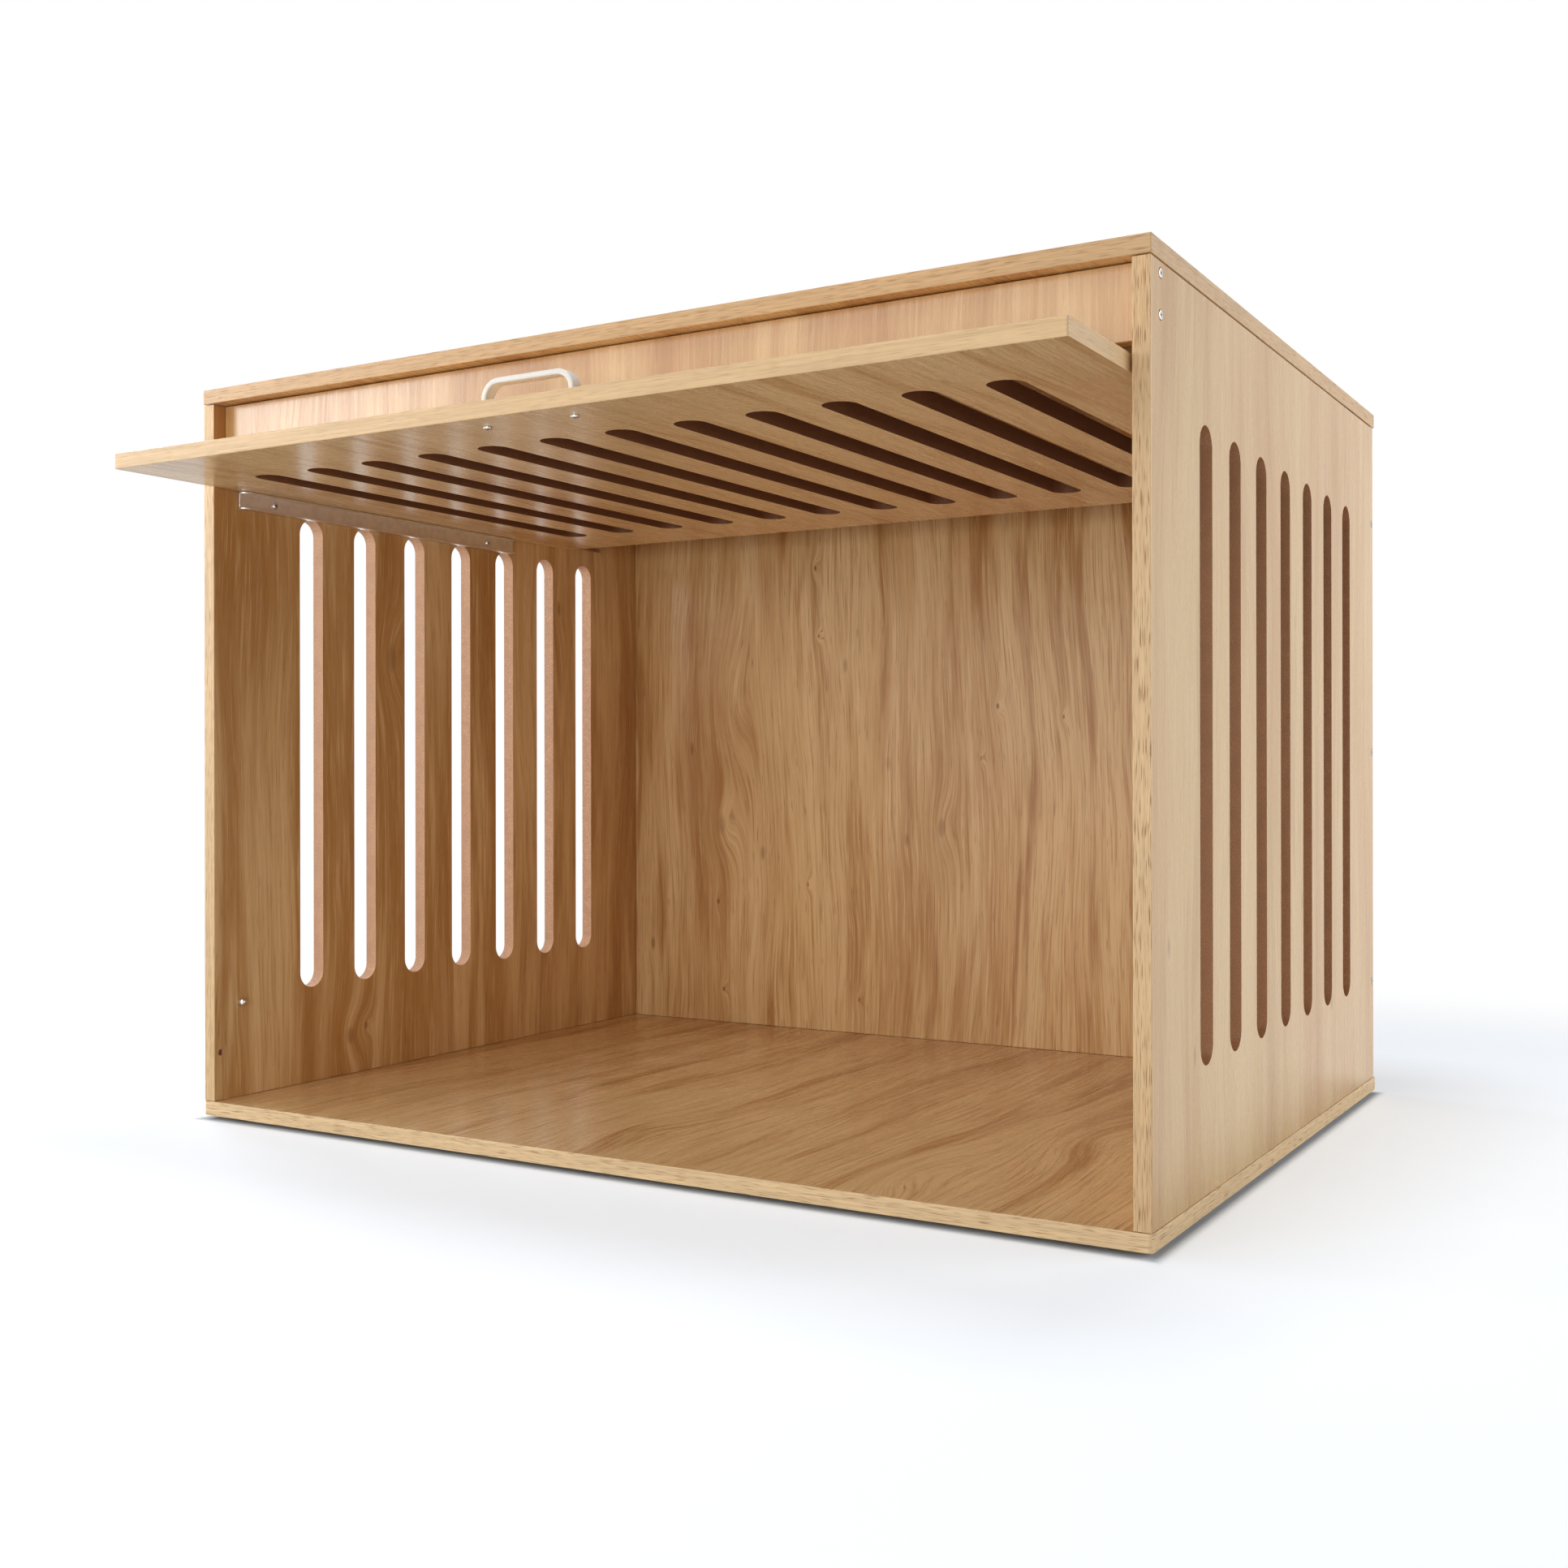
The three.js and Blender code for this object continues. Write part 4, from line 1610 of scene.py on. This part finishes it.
@dataclass
class Rail:
    """A satin channel that the open door rests on, open towards the cabin.

    Attributes:
        side: The side that it is on.
        web: Thickness of its web.
        flange: Thickness of its flanges.
        end_radius: Rounding of the flanges' corners at both ends.
        soft: Rounding of its other edges.
        hole_radius: Radius of its screw holes.
        hole_depth: Depth of the tool that cuts them.
    """

    side: Side
    web: float = 0.0021
    flange: float = 0.0022
    end_radius: float = 0.008
    soft: float = 0.0009
    hole_radius: float = 0.0019
    hole_depth: float = 0.004

    def build(self, finish: bpy.types.Material) -> None:
        """Model the channel: a web whose upper and lower strips are drawn out into flanges.

        Args:
            finish: Its material.
        """
        node = f"door_rail_{self.side.label}"
        low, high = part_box(node)
        sign = self.side.value
        wall, lip = (low.x, high.x) if self.side is Side.LEFT else (high.x, low.x)
        face = wall - sign * self.web
        piece = block(f"channel_{self.side.label}", (min(wall, face), low.y, low.z),
                      (max(wall, face), high.y, high.z))
        for z in (low.z + self.flange, high.z - self.flange):
            pick_faces(piece, lambda centre, normal: True)
            bpy.ops.mesh.bisect(plane_co=(0, 0, z), plane_no=(0, 0, 1))
            leave_edit()
        half = (high.z - low.z) / 2
        pick_faces(piece, lambda centre, normal: normal.x * sign < -FLAT
                   and abs(centre.z - (low.z + high.z) / 2) > half - self.flange)
        extrude(Vector((-sign * ((high.x - low.x) - self.web), 0, 0)))
        leave_edit()
        round_edges(piece, lambda a, b: abs(a.x - lip) < NEAR and abs(b.x - lip) < NEAR
                    and abs(a.z - b.z) > UPRIGHT, self.end_radius, 6)
        ease(piece, self.soft, 3)
        for screw in (f"rail_screw_{self.side.label}_front", f"rail_screw_{self.side.label}_rear"):
            at = middle(screw)
            at.x = wall + sign * OVERSHOOT
            cut(piece, [Bore(at, unit(Axis.X, -sign), self.hole_radius, self.hole_depth).tool()])
        dress(piece, finish)
        finish_piece(piece, "cabinet", node)


@dataclass
class Handle:
    """A white bow handle bent from one flat strap.

    Attributes:
        strap: Thickness of the strap.
        corner: Outer radius of its bends.
        soft: Rounding of the strap's edges.
        steps: Steps in each bend.
    """

    strap: float = 0.005
    corner: float = 0.018
    soft: float = 0.0013
    steps: int = 14

    def build(self) -> None:
        """Draw the strap up from its left foot, round two bends and down to its right foot."""
        low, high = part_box("handle")
        y = (low.y + high.y) / 2
        deselect()
        bpy.ops.mesh.primitive_plane_add(size=1, location=(low.x + self.strap / 2, y, low.z))
        bpy.context.object.scale = (self.strap, high.y - low.y, 1)
        piece = started("bow_handle")
        rise = high.z - low.z - self.corner
        pick_faces(piece, lambda centre, normal: True)
        draw_up(rise)
        self.bend(Vector((low.x + self.corner, y, high.z - self.corner)))
        extrude(Vector((high.x - low.x - 2 * self.corner, 0, 0)))
        self.bend(Vector((high.x - self.corner, y, high.z - self.corner)))
        draw_up(-rise)
        bpy.ops.mesh.select_all(action="SELECT")
        bpy.ops.mesh.remove_doubles(threshold=1e-6)
        bpy.ops.mesh.normals_make_consistent(inside=False)
        leave_edit()
        ease(piece, self.soft, 5, 60.0)
        smooth(piece, 40.0)
        dress(piece, PowderCoat("handle_powder_coat").material())
        finish_piece(piece, "door", "handle")

    def bend(self, centre: Vector) -> None:
        """Spin the selected end of the strap through a quarter turn about a centre."""
        bpy.ops.mesh.spin(steps=self.steps, angle=math.pi / 2, center=centre, axis=(0, -1, 0))


@dataclass
class Pegs:
    """Domed steel pegs low on the side walls.

    Attributes:
        shank: Radius of the shank in the wall.
        crown: How much of its length the dome takes.
    """

    shank: float = 0.002
    crown: float = 0.0041

    def build(self, finish: bpy.types.Material) -> None:
        """Model one peg and put a copy on each wall.

        Args:
            finish: Their material.
        """
        low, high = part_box("wall_peg_left")
        radius = (high.z - low.z) / 2
        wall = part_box("side_panel_left")[1].x
        tip = high.x - wall
        piece = drum("peg", radius, 0.0, tip, 40)
        round_edges(piece, lambda a, b: min(a.z, b.z) > tip - NEAR, self.crown, 10)
        pick_faces(piece, faces_down)
        bpy.ops.mesh.inset(thickness=radius - self.shank)
        draw_up(low.x - wall)
        leave_edit()
        smooth(piece, 50.0)
        dress(piece, finish)
        for side in Side:
            peg = twin(piece, f"domed_peg_{side.label}")
            at = middle(f"wall_peg_{side.label}")
            at.x = side.value * abs(wall)
            stand(peg, at, unit(Axis.X, -side.value))
            finish_piece(peg, "cabinet", f"wall_peg_{side.label}")
        bpy.data.objects.remove(piece)


@dataclass
class Glides:
    """Nail-on glides under the bottom panel.

    Attributes:
        nodes: The CAD nodes that they stand for.
        pad_height: Height of the pad.
        rim: Rounding of its lower rim.
        margin: From the rim to the hollow under the pad, over the pad's radius.
        hollow: Depth of that hollow.
        nail: Radius of the nail.
    """

    nodes: tuple[str, ...] = ("glide_front_left", "glide_front_right", "glide_rear_left",
                              "glide_rear_right", "glide_middle")
    pad_height: float = 0.0037
    rim: float = 0.0014
    margin: float = 0.55
    hollow: float = 0.0009
    nail: float = 0.0012

    def build(self) -> None:
        """Model one glide and copy it under each place."""
        low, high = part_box(self.nodes[0])
        radius = (high.x - low.x) / 2
        piece = drum("glide", radius, 0.0, self.pad_height, 48)
        round_edges(piece, lambda a, b: max(a.z, b.z) < NEAR, self.rim, 5)
        pick_faces(piece, faces_down)
        bpy.ops.mesh.inset(thickness=radius * self.margin)
        draw_up(self.hollow)
        leave_edit()
        pick_faces(piece, faces_up)
        bpy.ops.mesh.inset(thickness=radius - self.nail)
        draw_up(high.z - low.z - self.pad_height)
        leave_edit()
        smooth(piece, 30.0)
        dress(piece, Moulded("glide_plastic", paint(58, 55, 52)).material())
        for node in self.nodes:
            glide = twin(piece, f"pad_{node}")
            at = middle(node)
            at.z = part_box(node)[0].z
            stand(glide, at, unit(Axis.Z))
            finish_piece(glide, "cabinet", node)
        bpy.data.objects.remove(piece)


@dataclass
class CamLocks:
    """Zinc cam discs in the side panels' inner faces, with a cross recess and an arrow notch.

    Attributes:
        rim: Rounding of the disc's rim.
        recess: Depth of the cross recess.
        arm: Reach of the recess, over the disc's radius.
        wing: Half its width, over the same.
        arrow: Where the arrow notch starts, over the same.
        bolt_gap: Half the width of the way for the bolt.
    """

    rim: float = 0.0006
    recess: float = 0.0022
    arm: float = 0.62
    wing: float = 0.14
    arrow: float = 0.78
    bolt_gap: float = 0.0034

    def build(self, finish: bpy.types.Material) -> None:
        """Model one cam and put a copy in each hole.

        Args:
            finish: Their material.
        """
        nodes = pair("cam_lock", "front", "rear")
        low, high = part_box(nodes[0])
        radius, depth = (high.z - low.z) / 2, high.x - low.x
        piece = drum("cam", radius, 0.0, depth, 48)
        round_edges(piece, lambda a, b: max(a.z, b.z) < NEAR, self.rim, 3)
        arm, wing = radius * self.arm, radius * self.wing
        for x, y in ((arm, wing), (wing, arm)):
            cut(piece, [block("wing", (-x, -y, -OVERSHOOT), (x, y, self.recess))])
        cut(piece, [block("arrow", (radius * self.arrow, -wing, -OVERSHOOT),
                          (radius * 1.1, wing, self.recess / 2))])
        cut(piece, [block("bolt_way", (-radius * 1.2, -self.bolt_gap, depth * 0.28),
                          (0.0, self.bolt_gap, depth * 0.9))])
        smooth(piece, 30.0)
        dress(piece, finish)
        for node in nodes:
            cam = twin(piece, node.replace("cam_lock", "cam_disc"))
            at = middle(node)
            sign = math.copysign(1.0, at.x)
            at.x = min(abs(corner.x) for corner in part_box(node)) * sign
            cam.rotation_mode = "XYZ"
            cam.rotation_euler = Euler((0.0, sign * math.pi / 2, 0.0))
            cam.location = at
            settle(cam)
            finish_piece(cam, "cabinet", node)
        bpy.data.objects.remove(piece)


@dataclass
class Catch:
    """The ball catch in the door's left edge.

    Attributes:
        wire: Radius of the spring's wire.
        turns: Turns in the spring.
        steps: Steps in each turn.
        clearance: From the spring to the barrel's bore.
        flat: How deep the ball's flat for the spring is, over its radius.
    """

    wire: float = 0.00033
    turns: int = 5
    steps: int = 20
    clearance: float = 0.00002
    flat: float = 0.06

    def spring(self) -> None:
        """Wind the spring from a wire section, closed at both ends, and give it its own mesh."""
        low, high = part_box("catch_spring")
        centre, length = (low + high) / 2, high.x - low.x
        coil = (high.z - low.z) / 2 - self.wire - self.clearance
        deselect()
        bpy.ops.mesh.primitive_circle_add(vertices=8, radius=self.wire, location=(coil, 0, 0),
                                          rotation=(math.pi / 2, 0, 0))
        piece = started("coil_spring")
        modify(piece, "SCREW", axis="Z", steps=self.steps, render_steps=self.steps,
               iterations=self.turns, screw_offset=(length - 2.2 * self.wire) / self.turns)
        pick_edges(piece, lambda a, b: False)
        bpy.ops.mesh.select_non_manifold()
        bpy.ops.mesh.fill_holes(sides=0)
        bpy.ops.mesh.select_all(action="SELECT")
        bpy.ops.mesh.normals_make_consistent(inside=False)
        leave_edit()
        smooth(piece, 50.0)
        dress(piece, STEEL.material())
        stand(piece, Vector((low.x + 1.1 * self.wire, centre.y, centre.z)), unit(Axis.X))
        finish_piece(piece, "door", "catch_spring")
        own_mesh(piece)

    def ball(self) -> None:
        """Model the ball, with a small flat where the spring bears on it."""
        low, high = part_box("catch_ball")
        radius = (high.z - low.z) / 2
        deselect()
        bpy.ops.mesh.primitive_uv_sphere_add(segments=32, ring_count=20, radius=radius,
                                             location=(low + high) / 2)
        piece = started("steel_ball")
        seat = high.x - radius * self.flat
        pick_faces(piece, lambda centre, normal: centre.x > seat)
        bpy.ops.mesh.dissolve_faces()
        leave_edit()
        smooth(piece, 50.0)
        dress(piece, Metal("ball_steel", paint(220, 220, 222), 0.16).material())
        finish_piece(piece, "catch_ball", "catch_ball")

    def build(self) -> None:
        """Model the ball and the spring, and dress the barrel that the frame already holds."""
        self.ball()
        dress_node("catch_barrel", BRASS.material())
        self.spring()


@dataclass
class Pins:
    """The steel pivot pins, with turned ends.

    Attributes:
        chamfer: Bevel of their ends.
    """

    chamfer: float = 0.0005

    def build(self, finish: bpy.types.Material) -> None:
        """Model each pin as a turned rod with chamfered ends.

        Args:
            finish: Their material.
        """
        for node in pair("pivot_pin"):
            low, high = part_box(node)
            radius, length = (high.z - low.z) / 2, high.x - low.x
            piece = drum(node.replace("pivot", "turned"), radius, 0.0, length)
            round_edges(piece, lambda a, b: abs(a.z - b.z) < 1e-6, self.chamfer, 2)
            smooth(piece, 30.0)
            dress(piece, finish)
            stand(piece, Vector((low.x, (low.y + high.y) / 2, (low.z + high.z) / 2)), unit(Axis.X))
            finish_piece(piece, "pivot_pins", node)


# ---------- the whole crate ----------

FLOOR_KNOTS = (
    Knot(0.270, -0.300, 0.050, 0.110, 0.034, 0.0),
    Knot(0.350, -0.080, 0.045, 0.120, 0.030, 0.0),
    Knot(-0.035, -0.270, 0.035, 0.080, 0.026, 0.2),
)
LEFT_KNOTS = (
    Knot(-0.122, 0.504, 0.028, 0.060, 0.030, 0.35),
    Knot(-0.190, 0.063, 0.022, 0.035, 0.020, 0.45),
    Knot(-0.165, 0.072, 0.010, 0.018, 0.010, 0.6),
)
BACK_KNOTS = (
    Knot(-0.3575, 0.294, 0.026, 0.050, 0.024, 0.3),
    Knot(-0.018, 0.295, 0.020, 0.045, 0.018, 0.40),
    Knot(-0.352, 0.459, 0.040, 0.120, 0.030, 0.0),
    Knot(-0.206, 0.643, 0.007, 0.014, 0.008, 0.85),
    Knot(-0.201, 0.551, 0.006, 0.010, 0.007, 0.7),
    Knot(0.061, 0.451, 0.008, 0.014, 0.009, 0.8),
    Knot(0.150, 0.436, 0.006, 0.012, 0.007, 0.7),
    Knot(0.038, 0.385, 0.006, 0.012, 0.007, 0.6),
    Knot(-0.3625, 0.187, 0.008, 0.014, 0.009, 0.8),
    Knot(-0.218, 0.215, 0.006, 0.012, 0.007, 0.6),
    Knot(-0.354, 0.065, 0.007, 0.012, 0.008, 0.8),
    Knot(-0.1395, 0.064, 0.006, 0.012, 0.007, 0.7),
)


@dataclass
class Cabinet:
    """The fixed part: five boards, the fascia, rails, pegs, glides and fittings.

    Attributes:
        shadow_gap: Gap left under the top panel.
    """

    shadow_gap: float = 0.0009

    def boards(self) -> list[Board]:
        """The cabinet's boards.

        Returns:
            The boards, in the order that they are built.
        """
        upright = {"along": Axis.Z, "across": Axis.Y, "through": Axis.X}
        flat = {"along": Axis.Y, "across": Axis.X, "through": Axis.Z}
        wall = {"along": Axis.Z, "across": Axis.X, "through": Axis.Y}
        return [
            # Floor board: print and edge band painted paler as painted light.
            CoverBoard("bottom_panel", "bottom_board", Run(**flat, cut_at=3.1), knots=FLOOR_KNOTS,
                       corner=0.004, rear_corner=0.001, contrast=1.15, shade=-0.95,
                       band=paint(232, 199, 152)),
            # Top board: edge band painted darker as painted shade.
            CoverBoard("top_panel", "top_board", Run(**flat, cut_at=11.7), corner=0.001,
                       rear_corner=0.001, contrast=0.8, band=paint(205, 167, 120)),
            # Left side: print darkened as painted shade; slot-wall core painted paler as painted light.
            SidePanel("side_panel_left", "slotted_side_left", Run(**upright, cut_at=5.2),
                      knots=LEFT_KNOTS, side=Side.LEFT, top_gap=self.shadow_gap, shade=0.6,
                      core=paint(244, 188, 144)),
            SidePanel("side_panel_right", "slotted_side_right", Run(**upright, cut_at=24.0),
                      side=Side.RIGHT, top_gap=self.shadow_gap, contrast=0.42, marks=1.0),
            # Back board: print painted paler as painted light.
            BackBoard("back_panel", "back_board", Run(**wall, cut_at=8.4), knots=BACK_KNOTS,
                      screws=("back", "back_base"), contrast=1.25, shade=-0.35),
            # Fascia: print darkened as painted shade.
            BackBoard("fascia_board", "fascia_strip", Run(**wall, cut_at=15.9), screws=("fascia",),
                      top_gap=self.shadow_gap, contrast=0.6, shade=0.4, gloss=1.0),
        ]

    def build(self) -> None:
        """Build the boards, then everything that is fixed to them."""
        for board in self.boards():
            board.build()
        for side in Side:
            Rail(side).build(RAIL_METAL.material())
        Pegs().build(STEEL.material())
        Glides().build()
        CamLocks().build(ZINC.material())
        for name in ("fascia", "back", "base", "back_base", "rail"):
            SCREWS[name].build()
        for node in pair("cam_bolt", "front", "rear"):
            dress_node(node, ZINC.material())
        for node in pair("dowel", "front", "rear"):
            dress_node(node, Beech("beech_dowel").material())


@dataclass
class Door:
    """The moving part: the slotted door, its handle, pins and catch."""

    def build(self) -> None:
        """Build the door and what rides with it."""
        run = Run(along=Axis.Y, across=Axis.X, through=Axis.Z, cut_at=19.3)
        # Door: print painted paler as painted light on its underside; slot-wall core painted darker as
        # painted shade.
        DoorBoard("door_panel", "slotted_door", run, body="door", corner=0.002,
                  rear_corner=0.002, marks=0.35, contrast=0.75, shade=-0.95,
                  core=paint(134, 82, 46)).build()
        Handle().build()
        SCREWS["handle"].build()
        Pins().build(STEEL.material())
        Catch().build()


# ---------- studio ----------

@dataclass(frozen=True)
class SoftBox:
    """A rectangular soft light.

    Attributes:
        name: Its name.
        at: Its centre.
        aim: The point that it faces.
        width: Its width.
        height: Its height.
        power: Its power in watts.
    """

    name: str
    at: tuple[float, float, float]
    aim: tuple[float, float, float]
    width: float
    height: float
    power: float

    def build(self) -> None:
        """Add the light."""
        data = bpy.data.lights.new(self.name, "AREA")
        data.shape = "RECTANGLE"
        data.size, data.size_y = self.width, self.height
        data.energy = self.power
        lamp = bpy.data.objects.new(self.name, data)
        bpy.context.scene.collection.objects.link(lamp)
        lamp.location = self.at
        lamp.rotation_euler = (Vector(self.aim) - Vector(self.at)).to_track_quat("-Z", "Y").to_euler()


LIGHTS = (
    SoftBox("side_left", (-2.6, -0.9, 1.0), (0.0, -0.1, 0.4), 1.1, 1.8, 26.0),
    SoftBox("glare_left", (-2.15, -2.0, 1.15), (-0.3, -0.4, 0.7), 0.8, 1.0, 13.0),
    SoftBox("slot_side", (-2.3, 0.5, 1.3), (0.0, 0.1, 0.1), 0.8, 0.8, 18.0),
    SoftBox("overhead", (0.2, -0.15, 3.0), (0.2, -0.15, 0.0), 0.6, 0.6, 25.0),
    SoftBox("top_front", (-0.3, -2.1, 2.5), (0.0, -0.2, 0.1), 1.4, 1.0, 12.0),
    SoftBox("side_right", (2.8, 0.9, 0.9), (0.5, 0.0, 0.35), 1.6, 1.6, 41.0),
    SoftBox("front", (-0.6, -3.5, 1.2), (0.0, 0.0, 0.35), 3.0, 2.0, 22.0),
    SoftBox("front_low", (0.8, -3.4, 0.35), (0.0, 0.0, 0.3), 1.4, 0.6, 22.0),
)


@dataclass
class Studio:
    """Camera, soft lights, white surroundings and a pale floor.

    Attributes:
        eye: Place of the camera.
        turn: Its turn to the left of +Y, in degrees.
        tilt: Its tilt upwards, in degrees.
        roll: Its roll, in degrees.
        lens: Focal length in millimetres.
        sensor: Width of its sensor in millimetres.
        shift: Vertical shift of the frame.
        ambient: Strength of the surroundings as a light.
        floor_size: Length and width of the floor.
        glow: Lift of the floor's colour round the crate, as the camera sees it.
        painted_contact_shade: Distances from the crate over which the glow rises from none to its
            strength, leaving painted shade under and right round the crate.
        fade: Distances from the crate over which the floor turns white to the camera.
        mirror: The same for reflections of the floor.
    """

    eye: tuple[float, float, float] = (0.9418, -1.6353, 0.3677)
    turn: float = 30.80
    tilt: float = 0.03
    roll: float = 0.08
    lens: float = 39.28
    sensor: float = 36.0
    shift: float = -0.0083
    ambient: float = 0.02
    floor_size: float = 14.0
    glow: float = 0.49
    painted_contact_shade: tuple[float, float] = (-0.001, 0.012)
    fade: tuple[float, float] = (0.35, 1.0)
    mirror: tuple[float, float] = (0.0, 0.12)

    def camera(self) -> None:
        """Add the camera."""
        data = bpy.data.cameras.new("camera")
        data.sensor_width = self.sensor
        data.lens = self.lens
        data.shift_y = self.shift
        camera = bpy.data.objects.new("camera", data)
        bpy.context.scene.collection.objects.link(camera)
        camera.location = self.eye
        camera.rotation_euler = Euler((math.radians(90 + self.tilt), math.radians(self.roll),
                                       math.radians(self.turn)))
        bpy.context.scene.camera = camera

    def surroundings(self) -> None:
        """White to the camera and in reflections, and a weak even light otherwise."""
        world = bpy.data.worlds.new("studio")
        bpy.context.scene.world = world
        world.use_nodes = True
        tree = Nodes(world.node_tree)
        tree.nodes.clear()
        path = tree.node("ShaderNodeLightPath", {}).outputs
        seen = tree.calc("MAXIMUM", path["Is Camera Ray"], path["Is Glossy Ray"])
        seen = tree.calc("MAXIMUM", seen, path["Is Transmission Ray"])
        dim, bright = (tree.node("ShaderNodeBackground", {"Color": WHITE, "Strength": strength})
                       for strength in (self.ambient, 1.0))
        mix = tree.node("ShaderNodeMixShader", {0: seen, 1: dim.outputs[0], 2: bright.outputs[0]})
        tree.node("ShaderNodeOutputWorld", {0: mix.outputs[0]})

    def paper(self) -> bpy.types.Material:
        """White paper that keeps the crate's shadow, with painted contact shade under and right round
        the crate where its glow is held back, and fades into the surroundings.

        Returns:
            Its material.
        """
        tree = Tree("paper")
        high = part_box("bottom_panel")[1]
        x, y, _ = tree.coordinates()
        past = tree.calc("MAXIMUM", tree.total(tree.calc("ABSOLUTE", x), -high.x),
                         tree.total(tree.calc("ABSOLUTE", y), -high.y))
        fibres = tree.noise(tree.place(), 3.0, 0.6, 240.0)
        path = tree.node("ShaderNodeLightPath", {}).outputs
        seen, mirrored = path["Is Camera Ray"], path["Is Glossy Ray"]
        colour = tree.blend(fibres, paint(205, 214, 225), paint(211, 220, 231))
        # No glow under the crate and less in a narrow band round it: painted contact shade.
        glow = tree.calc("MULTIPLY", seen, tree.ranged(past, *self.painted_contact_shade, 0.0, self.glow))
        inputs = {"Base Color": colour, "Roughness": 0.9, "Specular IOR Level": 0.1,
                  "Emission Color": WHITE, "Emission Strength": glow}
        for name, value in inputs.items():
            tree.put(tree.shader.inputs[name], value)
        white = tree.node("ShaderNodeEmission", {"Color": WHITE, "Strength": 1.0})
        far = tree.calc("MAXIMUM", tree.calc("MULTIPLY", seen, tree.ranged(past, *self.fade)),
                        tree.calc("MULTIPLY", mirrored, tree.ranged(past, *self.mirror)))
        mix = tree.node("ShaderNodeMixShader", {0: far, 1: tree.shader.outputs[0],
                                                2: white.outputs[0]})
        tree.put(tree.output.inputs["Surface"], mix.outputs[0])
        return tree.material

    def floor(self) -> None:
        """Lay the paper floor."""
        deselect()
        bpy.ops.mesh.primitive_plane_add(size=self.floor_size, location=(0, 0, 0))
        floor = started("paper_floor")
        dress(floor, self.paper())

    def build(self) -> None:
        """Set up the whole studio."""
        bpy.context.scene.view_settings.view_transform = "Standard"
        self.camera()
        self.surroundings()
        self.floor()
        for light in LIGHTS:
            light.build()


def main() -> None:
    """Build the crate and the studio."""
    logging.basicConfig(level=logging.INFO, format="%(message)s")
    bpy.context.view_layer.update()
    Studio().build()
    Cabinet().build()
    Door().build()


if __name__ == "__main__":
    main()
